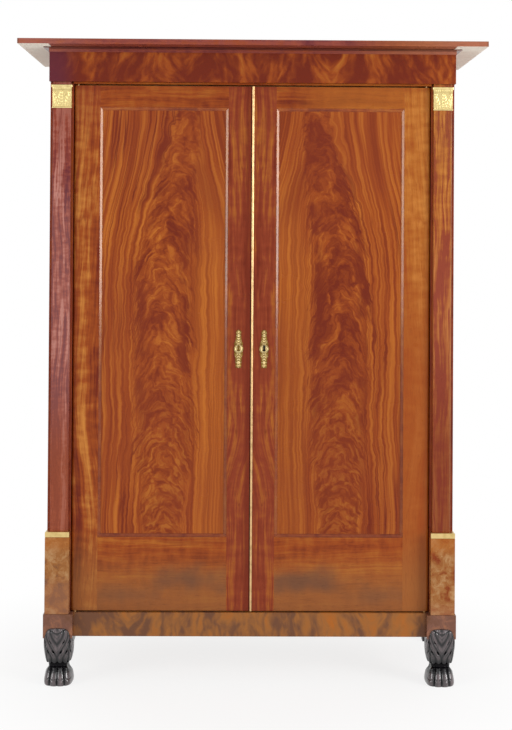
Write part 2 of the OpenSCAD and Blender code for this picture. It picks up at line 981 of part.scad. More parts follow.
// Section of the moulding in the corner of frame and panel: a fillet and a quarter round
module bead_section() {
    d = panel_recess;
    step = 0.2 * bead_w;
    square([step, d]);
    intersection() {
        square([bead_w, d - 1]);
        translate([step, 0])
            intersection() {
                circle(r = (pow(bead_w - step, 2) + pow(d - 1, 2)) / (2 * (d - 1)) + 0.001);
                square([bead_w - step, d - 1]);
            }
    }
}

// Four lengths of the moulding, standing on the panel. They run into each other at the
// corners, where their section makes them meet in a mitre.
module panel_moulding(s) {
    w = panel_x - meeting_edge;
    h = panel_z1 - panel_z0;
    at_face(mahogany)
        on_side(s)
            translate([(panel_x + meeting_edge) / 2, panel_recess, (panel_z0 + panel_z1) / 2])
                rotate([90, 0, 0])
                    for (a = [0, 180])
                        rotate(a) {
                            moulding_length(w, h);
                            rotate(90)
                                moulding_length(h, w);
                        }
}

// One length along the lower edge of an opening l long and h high
module moulding_length(l, h) {
    translate([-l / 2, -h / 2, 0])
        rotate([90, 0, 90])
            linear_extrude(l)
                bead_section();
}

// Half-round brass strip on the right door's free edge
module meeting_strip() {
    r = strip_w / 2;
    at_face(brass)
        upright(door_z0, door_z1) {
            translate([-right_edge, 0])
                square([strip_w, strip_t]);
            intersection() {
                translate([r - right_edge, 0])
                    circle(r);
                translate([-right_edge, -r])
                    square([strip_w, r + 0.5]);
            }
        }
}

// LOCK, BOLTS AND ESCUTCHEONS

// Keyhole outline: a round eye over a slot that widens downwards
module keyhole(grow) {
    slot = 0.66 * key_eye;
    foot = 1.05 * key_eye;
    circle(r = key_eye + grow);
    polygon([
        [-slot - grow, 0], [slot + grow, 0],
        [foot + grow, -key_drop - grow], [-foot - grow, -key_drop - grow]
    ]);
}

// The keyhole as a cut from the front face to depth d
module keyhole_cut(d, grow) {
    translate([key_x, d, lock_z + key_drop / 2])
        rotate([90, 0, 0])
            linear_extrude(d + 10)
                keyhole(grow);
}

// Outline of an escutcheon about its middle: a leaf finial, a broad boss round
// the keyhole, and a tapered foot
module escutcheon_outline() {
    circle(r = esc_w / 2);
    translate([0, 0.13 * esc_h])
        circle(r = 0.43 * esc_w);
    translate([0, -0.14 * esc_h])
        circle(r = 0.44 * esc_w);
    polygon([
        [-0.36 * esc_w, 0.16 * esc_h], [0.36 * esc_w, 0.16 * esc_h],
        [0.22 * esc_w, 0.42 * esc_h], [-0.22 * esc_w, 0.42 * esc_h]
    ]);
    translate([0, esc_h / 2 - 0.29 * esc_w])
        circle(r = 0.29 * esc_w);
    polygon([
        [-0.36 * esc_w, -0.15 * esc_h], [0.36 * esc_w, -0.15 * esc_h],
        [0.28 * esc_w, -0.5 * esc_h], [-0.28 * esc_w, -0.5 * esc_h]
    ]);
}

// Gilt escutcheon. The right one has the keyhole, and the left one a sunk copy of it.
module escutcheon(s) {
    at_face(gilt)
        on_side(s)
            difference() {
                translate([key_x, 0, lock_z])
                    rotate([90, 0, 0])
                        union() {
                            linear_extrude(esc_t)
                                escutcheon_outline();
                            linear_extrude(esc_t + 1.5)
                                circle(r = 0.34 * esc_w);
                            for (a = [0, 1])
                                linear_extrude(esc_t + 1)
                                    translate([0, (a - 0.5) * 0.5 * esc_h])
                                        rotate(a * 180 + 180)
                                            translate([0, -0.14 * esc_h])
                                                leaf(0.34 * esc_h, 0.3 * esc_w);
                            for (z = [-0.47, 0.33])
                                linear_extrude(esc_t + 1)
                                    translate([-0.24 * esc_w, z * esc_h])
                                        square([0.48 * esc_w, 0.03 * esc_h]);
                        }
                if (s > 0)
                    keyhole_cut(1, 0);
                else
                    translate([0, -esc_t / 2, 0])
                        keyhole_cut(0, 0);
            }
}

// The lock bolt from x0 to x1, or with a gap the space that it slides in
module bolt_bar(gap, x0, x1) {
    block(
        [x0, bolt_y - bolt_t / 2 - gap, bolt_z - gap],
        [x1, bolt_y + bolt_t / 2 + gap, bolt_z + bolt_h + gap]
    );
}

// Iron box on the inside of the right door. The bolt runs through its upper half,
// and the key turns in a round chamber under it.
module lock_case() {
    at_face(iron)
        difference() {
            block([lock_x0, door_t, lock_z0], [lock_x0 + lock_w, door_t + lock_d, lock_z0 + lock_h]);
            bolt_bar(bolt_slip, lock_x0 - 1, bolt_x0 + bolt_l + bolt_slip);
            keyhole_cut(door_t + lock_d - lock_wall, 0.5);
            translate([key_x, door_t + lock_d - lock_wall, lock_z])
                rotate([90, 0, 0])
                    cylinder(r = chamber_r, h = lock_d - 2 * lock_wall);
        }
}

module lock_bolt() {
    at_face(iron)
        bolt_bar(0, bolt_x0, bolt_x0 + bolt_l);
}

// Iron staple on the inside of the left door that takes the lock bolt
module lock_keeper() {
    x1 = -left_edge - 1;
    at_face(iron)
        difference() {
            block([x1 - keeper_w, door_t, bolt_z - 8], [x1, door_t + lock_d, bolt_z + bolt_h + 8]);
            bolt_bar(keeper_slip, x1 - keeper_w + lock_wall, x1 + 1);
        }
}

// A brass rod with a knob, from its tip at z. dir is 1 for the upper bolt and -1 for the lower.
module rod_bolt(z, dir) {
    knob_z = z - dir * 0.72 * rod_l;
    at_face(brass) {
        translate([rod_x, rod_y, min(z, z - dir * rod_l)])
            cylinder(r = rod_r, h = rod_l);
        translate([rod_x, rod_y, knob_z])
            rotate([-90, 0, 0]) {
                cylinder(r = 0.7 * rod_r, h = rod_r + 8);
                translate([0, 0, rod_r + 5])
                    cylinder(r = rod_r, h = 5);
            }
    }
}

module top_bolt() {
    rod_bolt(ceiling_z - tip_gap, 1);
}

module bottom_bolt() {
    rod_bolt(floor_z + tip_gap, -1);
}

// Plate on the left door's stile with two bored staples that guide a rod
module guide(z, dir) {
    w = 5 * rod_r;
    far = rod_y + rod_r + 2.5;
    z0 = dir > 0 ? z - guide_l : z;
    difference() {
        union() {
            block([rod_x - w / 2, door_t, z0], [rod_x + w / 2, door_t + guide_t, z0 + guide_l]);
            for (k = [0, guide_l - 2 * rod_r])
                block(
                    [rod_x - rod_r - 2.5, door_t, z0 + k],
                    [rod_x + rod_r + 2.5, far, z0 + k + 2 * rod_r]
                );
        }
        translate([rod_x, rod_y, z0 - 1])
            cylinder(r = rod_r + run, h = guide_l + 2);
    }
}

module bolt_guides() {
    at_face(brass) {
        guide(ceiling_z - 6, 1);
        guide(floor_z + 6, -1);
    }
}

cornice_board();
bed_moulding();
frieze_front();
frieze_returns();
head_rail();
top_board();
bottom_board();
side_frame(-1);  // left_side_frame
side_frame(1);  // right_side_frame
side_panels(-1);  // left_side_panels
side_panels(1);  // right_side_panels
back_frame();
back_panels();
front_stile(-1);  // left_front_stile
front_stile(1);  // right_front_stile
pilaster(-1);  // left_pilaster
pilaster(1);  // right_pilaster
capital(-1);  // left_capital
capital(1);  // right_capital
pedestal_collars();
pedestal(-1);  // left_pedestal
pedestal(1);  // right_pedestal
plinth_front_rail();
plinth_side_rails();
plinth_back_rail();
base_block(-1);  // left_base_block
base_block(1);  // right_base_block
paw_foot(-1);  // left_paw_foot
paw_foot(1);  // right_paw_foot
rear_feet();
shelf(1);  // shelf_1
shelf(2);  // shelf_2
shelf(3);  // shelf_3
shelf(4);  // shelf_4
shelf_bearers();
carcass_pivots();
bolt_keepers();
hinge_stile(-1);  // left_hinge_stile
meeting_stile(-1);  // left_meeting_stile
top_rail(-1);  // left_top_rail
bottom_rail(-1);  // left_bottom_rail
door_panel(-1);  // left_door_panel
panel_moulding(-1);  // left_panel_moulding
escutcheon(-1);  // left_escutcheon
pivot_plates(-1);  // left_pivot_plates
lock_keeper();
bolt_guides();
top_bolt();
bottom_bolt();
hinge_stile(1);  // right_hinge_stile
meeting_stile(1);  // right_meeting_stile
top_rail(1);  // right_top_rail
bottom_rail(1);  // right_bottom_rail
door_panel(1);  // right_door_panel
panel_moulding(1);  // right_panel_moulding
escutcheon(1);  // right_escutcheon
pivot_plates(1);  // right_pivot_plates
meeting_strip();
lock_case();
lock_bolt();
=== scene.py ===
"""Finishes, carving and fittings of a clothes press of about 1820."""

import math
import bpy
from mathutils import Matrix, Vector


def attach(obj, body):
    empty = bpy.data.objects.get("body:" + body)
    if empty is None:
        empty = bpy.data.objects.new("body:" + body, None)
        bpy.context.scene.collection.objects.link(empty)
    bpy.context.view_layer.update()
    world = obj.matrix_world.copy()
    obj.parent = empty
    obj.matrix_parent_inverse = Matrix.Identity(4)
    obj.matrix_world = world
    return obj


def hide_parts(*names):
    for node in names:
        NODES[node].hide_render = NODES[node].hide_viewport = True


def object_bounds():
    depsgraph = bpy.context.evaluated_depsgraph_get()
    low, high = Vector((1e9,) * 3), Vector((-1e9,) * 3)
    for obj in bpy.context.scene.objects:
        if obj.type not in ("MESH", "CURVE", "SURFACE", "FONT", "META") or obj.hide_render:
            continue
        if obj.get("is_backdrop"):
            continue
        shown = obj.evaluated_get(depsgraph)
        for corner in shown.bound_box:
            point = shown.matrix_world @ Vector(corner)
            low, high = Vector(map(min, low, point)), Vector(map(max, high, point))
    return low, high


bl_info = {
    "name": "Clothes press",
    "version": (1, 0, 0),
    "blender": (4, 5, 0),
    "location": "3D View > Sidebar > Press",
    "description": "Veneers, carved feet, gilt mounts and screws of a clothes press",
    "category": "Object",
}

from functools import partial

import bmesh
import bpy
import numpy as np
from mathutils import Matrix, Vector
from mathutils.kdtree import KDTree

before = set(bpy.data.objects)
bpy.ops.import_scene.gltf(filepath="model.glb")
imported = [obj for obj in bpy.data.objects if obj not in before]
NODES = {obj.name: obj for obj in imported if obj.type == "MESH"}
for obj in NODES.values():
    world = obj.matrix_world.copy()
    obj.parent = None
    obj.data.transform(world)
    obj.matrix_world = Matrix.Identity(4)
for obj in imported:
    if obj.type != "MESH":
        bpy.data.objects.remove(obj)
CAD_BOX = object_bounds()

MM = 0.001
# The door faces, from which depths are counted backwards
FACE_Y = -190.5 * MM


def linear(hex_colour):
    """An sRGB hex value as linear red, green, blue and alpha."""
    parts = [int(hex_colour[i : i + 2], 16) / 255 for i in (1, 3, 5)]
    return (
        *(c / 12.92 if c <= 0.04045 else ((c + 0.055) / 1.055) ** 2.4 for c in parts),
        1.0,
    )


def tone(name, description, hex_colour):
    """A colour that the user can change."""
    return bpy.props.FloatVectorProperty(
        name=name,
        description=description,
        subtype="COLOR",
        size=4,
        min=0,
        max=1,
        default=linear(hex_colour),
    )


def length(name, description, millimetres):
    """A length that the user can change."""
    return bpy.props.FloatProperty(
        name=name,
        description=description,
        subtype="DISTANCE",
        unit="LENGTH",
        min=0,
        default=millimetres * MM,
    )


class PressColours(bpy.types.PropertyGroup):
    """Colours of the woods, the polish and the metal, less what the gloss adds to them"""

    light: tone("Light mahogany", "Lightest streaks of the mahogany", "#a9601f")
    middle: tone("Mahogany", "Most of the mahogany", "#954411")
    dark: tone("Dark mahogany", "Darkest streaks of the mahogany", "#6b2006")
    red: tone("Red mahogany", "Streaks of the redder boards", "#86361a")
    # purple is both dark streaks and the painted cool reflection on the left shaft, the cornice and
    # the frieze's left end
    purple: tone("Purple mahogany", "Darkest, purplish streaks", "#5c1f2b")
    ruddy: tone("Ruddy mahogany", "Middle tone of the left shaft", "#8d4437")
    sunned: tone("Sunned mahogany", "Mahogany that light has bleached", "#c07a34")
    faded: tone("Faded mahogany", "Veneer and boards near the floor", "#97602f")
    smoky: tone("Smoky mahogany", "Greyish violet brown of the base blocks", "#775041")
    dusty: tone("Dusty mahogany", "Pinkish tan of the pedestals and blocks", "#9f6a4c")
    orange: tone("Orange flame", "Bright streaks of the crotch veneer", "#b36420")
    plume: tone("Plume", "Dark feather of the crotch veneer", "#7d3009")
    # rose is a painted reflection: the greyish pink sheen that light leaves on the polish, painted
    # into the colour
    rose_reflection: tone("Painted rose reflection", "Greyish pink of a painted reflection on the polish", "#b57a6e")
    umber: tone("Umber", "Brownish grey of the crotch veneer near the floor", "#6c4630")
    tan: tone("Tan burr", "Light patches of the burr veneer", "#b08559")
    softwood: tone("Softwood", "Boards inside the press", "#bd9766")
    softwood_dark: tone("Softwood, late wood", "Late wood of the softwood", "#9a7044")
    bare: tone("Bare softwood", "Pale underside of the ends of the cornice board", "#f5efe3")
    ebony: tone("Ebonised wood", "Stained and polished black", "#0a080c")
    ebony_worn: tone("Worn ebonising", "Greyish brown of the worn crests", "#66595b")
    gilding: tone("Gilding", "Mercury gilding on the mounts", "#ecd899")
    gilding_deep: tone("Gilding in hollows", "Toned gilding in the hollows", "#b79c5a")
    keyplate: tone("Worn gilding", "Gilding of the key plates", "#fae4a8")
    keyplate_deep: tone("Dark gilding", "Hollows of the key plates", "#7b5d2b")
    collar: tone("Collar gilding", "Worn gilding of the collars", "#dfc385")
    brass: tone("Brass", "Polished brass", "#dab481")
    brass_dull: tone("Dull brass", "Brass with some tarnish", "#8e6c3f")
    iron: tone("Iron", "Filed iron of the lock", "#77736d")
    iron_dark: tone("Dark iron", "Scale left on the iron", "#4b4743")


class PressSizes(bpy.types.PropertyGroup):
    """Sizes of the carving and the fittings"""

    arris: length("Arris", "Width of the eased arrises of boards", 0.8)
    door_arris: length("Door arris", "Width of the eased arrises of the doors", 0.35)
    toe_depth: length("Toe grooves", "Depth of the grooves between the toes", 7)
    leaf_depth: length("Leaf grooves", "Depth of the grooves between the leaves", 4)
    vein: length("Veins", "Depth of the veins in the carved leaves", 0.7)
    mount_relief: length("Mount relief", "Height of the leaves on the gilt mounts", 2.0)
    screw_head: length("Screw head", "Radius of a screw head", 3.2)
    screw_slot: length("Screw slot", "Width of the slot in a screw head", 0.9)


class PressStage(bpy.types.PropertyGroup):
    """Camera, lamps and floor"""

    lens: bpy.props.FloatProperty(
        name="Lens", description="Focal length in millimetres", default=66.52
    )
    shift: bpy.props.FloatProperty(
        name="Shift", description="Vertical shift of the lens", default=-0.1986
    )
    surround: bpy.props.FloatProperty(
        name="Surround", description="Even light from all round", min=0, default=0.55
    )
    key: bpy.props.FloatProperty(
        name="Main lamp", description="Power of the lamp on the right", min=0, default=135
    )
    fill: bpy.props.FloatProperty(
        name="Fill lamp", description="Power of the lamp on the left", min=0, default=80
    )
    floor: tone("Floor", "Pale floor", "#fbfaf8")


SMOOTH = {"interpolation_type": "SMOOTHSTEP"}
# Kinds of node by the names that this file uses: type, settings, sockets in the order in
# which they are fed, and main output. A range takes a value, from low and high, to low and high
KINDS = {
    "place": ("ShaderNodeTexCoord", {}, (), "Object"),
    "turn": ("ShaderNodeMapping", {}, ("Vector", "Rotation"), 0),
    "noise": ("ShaderNodeTexNoise", {}, ("Vector", "Scale", "Detail"), 0),
    "noise colour": ("ShaderNodeTexNoise", {}, ("Vector", "Scale", "Detail"), "Color"),
    "stored": ("ShaderNodeAttribute", {}, (), "Fac"),
    "range": ("ShaderNodeMapRange", {}, range(5), 0),
    "smooth": ("ShaderNodeMapRange", SMOOTH, range(5), 0),
    "ramp": ("ShaderNodeValToRGB", {}, (0,), 0),
    "mix": ("ShaderNodeMix", {}, (0, 2, 3), 0),
    "mix places": ("ShaderNodeMix", {"data_type": "VECTOR"}, (0, 4, 5), 1),
    "tint": ("ShaderNodeMix", {"data_type": "RGBA"}, (0, 6, 7), 2),
    "shift": ("ShaderNodeVectorMath", {}, (0, 1), 0),
    "stretch": ("ShaderNodeVectorMath", {"operation": "MULTIPLY"}, (0, 1), 0),
    "length": ("ShaderNodeVectorMath", {"operation": "LENGTH"}, (0,), "Value"),
    "apart": ("ShaderNodeSeparateXYZ", {}, (0,), slice(None)),
    "together": ("ShaderNodeCombineXYZ", {}, range(3), 0),
    "bump": ("ShaderNodeBump", {}, ("Height", "Strength", "Distance"), 0),
    "surface": ("ShaderNodeBsdfPrincipled", {}, ("Base Color", "Roughness", "Normal"), 0),
    "rays": ("ShaderNodeLightPath", {}, (), None),
    "material output": ("ShaderNodeOutputMaterial", {}, ("Surface",), None),
    "world output": ("ShaderNodeOutputWorld", {}, ("Surface",), None),
    "group input": ("NodeGroupInput", {}, (), slice(None)),
    "group output": ("NodeGroupOutput", {}, (0,), None),
}
for kind, operation in (
    ("plus", "ADD"), ("minus", "SUBTRACT"), ("times", "MULTIPLY"), ("over", "DIVIDE"),
    ("times plus", "MULTIPLY_ADD"), ("most", "MAXIMUM"), ("absolute", "ABSOLUTE"),
    ("sign", "SIGN"), ("exponent", "EXPONENT"), ("near", "COMPARE"), ("beyond", "GREATER_THAN"),
):
    KINDS[kind] = ("ShaderNodeMath", {"operation": operation}, range(3), 0)
QUARTER = math.pi / 2
# Half the width of the side and back frames' boards, in millimetres
FRAME_HALF = 42
# Power that turns a circle into a rounded square
ROUND_SQUARE = 0.72
# Turns that lay a grain, which runs up Z as drawn, along each axis
GRAIN_TURN = {"Z": (0, 0, 0), "X": (0, QUARTER, 0), "Y": (QUARTER, 0, 0)}


def add_node(tree, kind, *inputs, stops=(), **named):
    """Adds a node of one of KINDS, or of a type, and returns its main output.

    inputs feed its sockets in order, and None leaves one as it is. A name with a capital
    feeds the socket of that name, and any other name is a setting. stops are the places
    and colours of a colour ramp."""
    node_type, settings, sockets, output = KINDS.get(kind, (kind, {}, range(3), 0))
    node = tree.nodes.new(node_type)
    feeds = dict(zip(sockets, inputs))
    for key, value in (settings | named).items():
        if key[0].isupper():
            feeds[key.replace("_", " ")] = value
        else:
            setattr(node, key, value)
    for key, value in feeds.items():
        if isinstance(value, bpy.types.NodeSocket):
            tree.links.new(value, node.inputs[key])
        elif value is not None:
            node.inputs[key].default_value = value
    for i, (place, colour) in enumerate(stops):
        ramp = node.color_ramp.elements
        stop = ramp[i] if i < 2 else ramp.new(place)
        stop.position, stop.color = place, colour
    return node if output is None else node.outputs[output]


def new_material(name):
    """An empty material, and a function that adds nodes to it."""
    material = bpy.data.materials.new(name)
    material.use_nodes = True
    material.node_tree.nodes.clear()
    return material, partial(add_node, material.node_tree)


def polished_wood(add, colour, height, rough=0.28, gloss=0.2, relief=0.06, shine="#ffffff"):
    """French polish over wood: a thin even gloss, dulled in places, over filled pores."""
    haze = add("noise", add("place"), 9, 3)
    dulling = add("range", haze, 0, 1, rough - 0.07, rough + 0.11)
    bump = add("bump", height, 0.5, relief * MM)
    polish = {"Specular IOR Level": gloss, "Specular Tint": linear(shine)}
    add("material output", add("surface", colour, dulling, bump, IOR=1.5, **polish))


def away(add, value, middle):
    """How far a value is from a middle."""
    return add("absolute", add("minus", value, middle))


def streaked(add, place, scale, detail, **settings):
    """Noise with a scale of its own along each axis."""
    return add("noise", add("stretch", place, scale), 1, detail, **settings)


def stirred(add, place, by, scale, detail, reach):
    """A place that noise moves about by up to a reach along each axis."""
    wander = add("noise colour", by, scale, detail)
    return add("shift", place, add("stretch", wander, reach))


def part_tint(add, colour, tint, amount, share):
    """A colour tinted by a share of an amount."""
    return add("tint", add("times", amount, share), colour, tint)


def rail_mask(add, here, heights, across, reach):
    """1 on the rails of a frame and 0 on its stiles, from places in millimetres."""
    axes = dict(zip("XYZ", add("apart", here)))
    rails = 0.0
    for height in heights:
        rails = add("most", rails, add("near", axes["Z"], height * MM, FRAME_HALF * MM))
    middle, half = reach
    return add("times", rails, add("near", axes[across], middle * MM, half * MM))


def grain_fields(
    add, along, seed, figure=25, fine=130, mottle=40, slant=0, mirrored=False, sweep=None,
    rails=None,
):
    """Noise fields of straight-grained wood. The numbers are streaks or bands in a metre.

    slant tips the grain, mirrored makes the left and right boards a pair, sweep gives the
    heights between which their grain leans aside and how far, and rails names the boards
    of a frame that lie level."""
    here = add("place")
    if mirrored:
        x, y, z = add("apart", here)
        book = add("absolute", x)
        if sweep:
            start, end, reach = sweep
            book = add("plus", book, add("smooth", z, start, end, 0, reach))
        here = add("together", book, y, z)
    lay = add("turn", here, Vector(GRAIN_TURN[along]) + Vector((0, slant, 0)))
    if rails:
        level = add("turn", here, GRAIN_TURN[rails[1]])
        lay = add("mix places", rail_mask(add, here, *rails), lay, level)
    place = add("shift", lay, (seed, 0.37 * seed, 1.7 * seed))
    swayed = stirred(add, place, place, 2.4, 2, (0.05, 0.05, 0))
    return [
        streaked(add, swayed, scale, detail)
        for scale, detail in (
            ((figure, figure, figure * 0.05), 3),
            ((fine, fine, fine * 0.03), 3),
            ((mottle * 0.45, mottle * 0.45, mottle), 2),
            # pores of 0.3 mm are drawn 1.5 mm wide, or they would not show
            ((650, 650, 28), 2),
            ((figure * 1.6, figure * 1.6, figure * 0.06), 1),
        )
    ]


def dark_lines(add, field, width, breaks):
    """Soft dark lines where a field crosses its middle, broken by another field."""
    line = add("smooth", away(add, field, 0.5), width, 0)
    return add("times", line, add("smooth", breaks, 0.4, 0.62))


def faded(add, colour, fades):
    """A colour with tints, each given by an axis, where it starts and is full, a tint and
    its strength."""
    axes = dict(zip("XYZ", add("apart", add("place"))))
    for axis, start, end, tint, strength in fades:
        amount = add("smooth", axes[axis], start, end, 0, strength)
        colour = add("tint", amount, colour, tint)
    return colour


def stained(add, colour, stains):
    """A colour with soft stains, each given by its distance from the middle of the press,
    its height, its reach across and upwards, its tint and its strength."""
    coords = add("place")
    x, y, z = add("apart", coords)
    book = add("absolute", x)
    ragged = add("noise", coords, 11, 3)
    for across, up, wide, high, tint, strength in stains:
        off = add("together", add("minus", book, across), add("minus", z, up))
        far = add("length", add("stretch", off, (1 / wide, 1 / high, 0)))
        edge = add("times plus", ragged, 1.6, far)
        colour = add("tint", add("smooth", edge, 1.9, 0.8, 0, strength), colour, tint)
    return colour


def straight_mahogany(
    name, along, seed, tones, mottling=0.25, spread=0.11, lines=0.5, fades=(), bare=None,
    softwood=(), finish=None, stains=(), **grain,
):
    """Sawn or sliced mahogany: streaks along the board, crossed by a silky mottle.

    spread is how far the tones reach, lines how dark the thin dark lines are, and fades and
    stains are as in faded and stained. bare gives the heights of the lower and upper faces
    of a veneered softwood board, and how far out its lower face is bare. Its upper face is
    bare all over, and softwood gives three tones for both."""
    material, add = new_material(name)
    figure, fine, mottle, pores, veins = grain_fields(add, along, seed, **grain)
    figured = add("mix", mottling, add("mix", 0.4, figure, fine), mottle)
    places = (0.5 - spread, 0.5, 0.5 + spread)
    colour = add("ramp", figured, stops=zip(places, tones))
    colour = part_tint(add, colour, tones[0], dark_lines(add, veins, 0.03, figure), lines)
    colour = stained(add, faded(add, colour, fades), stains)
    finish = dict(finish or {})
    if bare:
        low, high, end = bare
        x, y, z = add("apart", add("place"))
        below = add("range", z, low + 0.5 * MM, low + 0.3 * MM)
        over = add("range", z, high - 0.5 * MM, high - 0.3 * MM)
        under = add("times", below, add("beyond", add("absolute", x), end))
        for amount, stops in (
            (under, [(0.2, softwood[1]), (0.38, softwood[2])]),
            (over, [(0.4, softwood[0]), (0.56, softwood[1])]),
        ):
            colour = add("tint", amount, colour, add("ramp", figured, stops=stops))
        # bare wood has no gloss
        finish["gloss"] = add("range", add("plus", under, over), 0, 1, 0.2, 0)
    pored = add("smooth", pores, 0.56, 0.72)
    dark_pores = add("times", pored, 0.3)
    colour = add("tint", dark_pores, colour, tones[0], blend_type="MULTIPLY")
    polished_wood(add, colour, pored, **finish)
    return material


def plain_softwood(name, along, seed, c, **grain):
    """Planed softwood, waxed by handling: pale early wood and darker late wood in long lines."""
    material, add = new_material(name)
    figure, fine, *rest = grain_fields(add, along, seed, figure=12, fine=90, **grain)
    stops = [(0.38, c.softwood_dark), (0.6, c.softwood)]
    colour = add("ramp", add("mix", 0.55, figure, fine), stops=stops)
    polished_wood(add, colour, fine, rough=0.6, gloss=0.2, relief=0.15)
    return material


def crotch_veneer_doors(name, c):
    """Bookmatched flame veneer of the two door panels.

    A dark curly feather runs down each panel and widens below its narrow top. Straight
    streaks fan out beside it, and two small arches close it at the foot."""
    material, add = new_material(name)
    coords = add("place")
    x, y, up = add("apart", coords)
    side = add("sign", x)
    book = add("absolute", x)
    folded = add("together", book, None, up)
    wander, *rest = add("apart", add("noise colour", folded, 3, 1))
    across = add("plus", book, add("times plus", wander, 0.04, -0.02))
    # the feather leans outwards from its top, and grows wider
    axis = add("smooth", up, 1.3, 1.95, 0.298, 0.215)
    wide = add("smooth", up, 1.4, 1.95, 0.1, 0.042)
    half = add("minus", wide, add("smooth", up, 0.85, 0.5, 0, 0.035))
    off = add("minus", across, axis)
    out = add("over", add("absolute", off), half)
    # outside the feather the streaks follow its edge, less so further out
    edge = add("plus", axis, wide)
    drawn = add("minus", 0.398, edge)
    near = add("exponent", add("times", add("minus", across, edge), -3.2))
    outer = add("plus", across, add("times", near, drawn))
    # on its inner side they run out from its top to the meeting stile
    inner = add("plus", across, add("smooth", up, 1.5, 1.95, 0, -0.08))
    outward = add("range", off, -0.004, 0.004)
    ripple = add("noise", folded, 20, 2)
    rippled = add("times", ripple, add("range", out, 2.2, 1, 0.006, 0.026))
    lean = add("plus", add("mix", outward, inner, outer), rippled)
    place = add("together", lean, side, up)
    broad = streaked(add, place, (50, 0.12, 0.8), 2)
    fine = streaked(add, place, (150, 0.25, 2.4), 3)
    stops = [(0.38, c.plume), (0.48, c.middle), (0.61, c.orange)]
    flame = add("ramp", add("mix", 0.62, broad, fine), stops=stops)
    # dark lines, strongest outside the feather
    veins = streaked(add, place, (78, 0.2, 1.1), 1)
    thin = dark_lines(add, veins, 0.042, streaked(add, place, (11, 0.7, 3.0), 1))
    outside = add("range", off, -0.1, 0.05, 0.35, 1)
    flame = part_tint(add, flame, c.dark, thin, outside)
    # a smooth bright band between the feather and the meeting stile
    band = add("times", add("smooth", off, -0.09, -0.13), add("smooth", up, 1.8, 1.5))
    flame = part_tint(add, flame, c.orange, band, 0.3)
    # a dark cloud beside the top of the feather
    beside_top = add("minus", up, 1.66)
    height = add("smooth", add("absolute", beside_top), 0.17, 0.04)
    nearby = add("plus", add("times plus", beside_top, -0.45, off), 0.1)
    width = add("smooth", add("absolute", nearby), 0.05, 0.005)
    flame = part_tint(add, flame, c.plume, add("times", height, width), 0.55)
    # the feather: short curls that turn over in arches
    arch = add("times plus", add("times", off, off), 12, up)
    arched = add("together", across, side, arch)
    curls = stirred(add, arched, folded, 15, 3, (0.09, 0, 0.11))
    curl = streaked(add, curls, (42, 0.3, 58), 3, Roughness=0.55, Distortion=0.5)
    clump = streaked(add, curls, (14, 0.4, 11), 2)
    curled = add("mix", 0.5, curl, clump)
    stops = [(0.39, c.dark), (0.47, c.plume), (0.56, c.middle), (0.68, c.orange)]
    feather = add("ramp", curled, stops=stops)
    # dark blotches down both edges of the feather
    rim = add("smooth", away(add, out, 0.8), 0.34, 0)
    there = add("smooth", streaked(add, place, (9, 1.3, 11), 2), 0.44, 0.58)
    feather = part_tint(add, feather, c.dark, add("times", rim, there), 0.8)
    # lower down it is paler and finer
    pale = add("ramp", curl, stops=[(0.36, c.plume), (0.5, c.middle), (0.64, c.light)])
    feather = add("tint", add("smooth", up, 1.1, 0.75, 0, 0.75), feather, pale)
    # two small dark arches over the foot
    bent = add("times plus", clump, 0.05, arch)
    for height, thick in ((0.655, 0.012), (0.612, 0.009)):
        line = add("smooth", away(add, bent, height), thick, 0, 0, 0.55)
        feather = add("tint", line, feather, c.plume)
    ragged = add("times plus", curled, 1.4, out)
    colour = add("tint", add("smooth", ragged, 1.84, 1.46), flame, feather)
    # slow changes of tone, not mirrored
    shade = add("range", add("noise", coords, 3.2, 2), 0.45, 0.65, 0, 0.22)
    colour = add("tint", shade, colour, c.red)
    # the right panel is darker low down
    right = add("range", x, 0, 0.1)
    colour = part_tint(add, colour, c.dark, right, add("smooth", up, 1.5, 0.9, 0, 0.22))
    polished_wood(add, colour, fine, rough=0.24, relief=0.03)
    return material


def crotch_veneer_boards(
    name, c, seed, joint, tones, places, patch=15, curling=0.3, slopes=(0.62, 0.1), purple=None
):
    """Crotch veneer on narrow boards, mirrored at its joints: dark patches parted by light V's.

    joint is the place between two joints, half their distance and the boards' height, in
    metres, places where the tones stand, patch how many patches go in a metre, slopes the
    leaning of the figure at a joint and away from it, and purple the places between which a
    purple tint is painted on, a painted cool reflection."""
    material, add = new_material(name)
    x, y, z = add("apart", add("place"))
    middle, half, height = joint
    leaf = away(add, away(add, x, middle), half)
    slope = add("smooth", leaf, 0, 0.15, *slopes)
    lean = add("minus", leaf, add("times", add("minus", z, height), slope))
    # the leaves are not quite alike
    place = add("together", lean, add("times plus", x, 0.5, y), z)
    moved = add("shift", place, (seed, 0.6 * seed, 1.4 * seed))
    swayed = stirred(add, moved, moved, 13, 2, (0.05, 0.05, 0.05))
    patches = streaked(add, swayed, (patch, patch, 0.4 * patch), 2)
    curl = streaked(add, swayed, (4 * patch, 4 * patch, 1.6 * patch), 4, Distortion=0.4)
    figured = add("mix", curling, patches, curl)
    colour = add("ramp", figured, stops=zip(places, tones))
    if purple:
        # Painted reflection: a purple tint between these places, standing in for a cool light
        # reflected from the left.
        colour = part_tint(add, colour, c.purple, add("smooth", x, *purple), 0.95)
    polished_wood(add, colour, curl, rough=0.26, relief=0.03)
    return material


def burr_veneer(name, seed, tones, patch=30, fades=()):
    """Burr veneer: soft cloudy patches stirred into swirls, with small curls in them."""
    material, add = new_material(name)
    place = add("shift", add("place"), (seed, 0.6 * seed, 1.4 * seed))
    swirls = stirred(add, place, place, 20, 2, (0.07, 0.07, 0.07))
    clouds = add("noise", swirls, patch, 2)
    curl = add("noise", swirls, 5 * patch, 3, Distortion=1.2)
    figured = add("mix", 0.3, clouds, curl)
    colour = add("ramp", figured, stops=zip((0.37, 0.51, 0.66), tones))
    polished_wood(add, faded(add, colour, fades), curl, rough=0.26, relief=0.03)
    return material


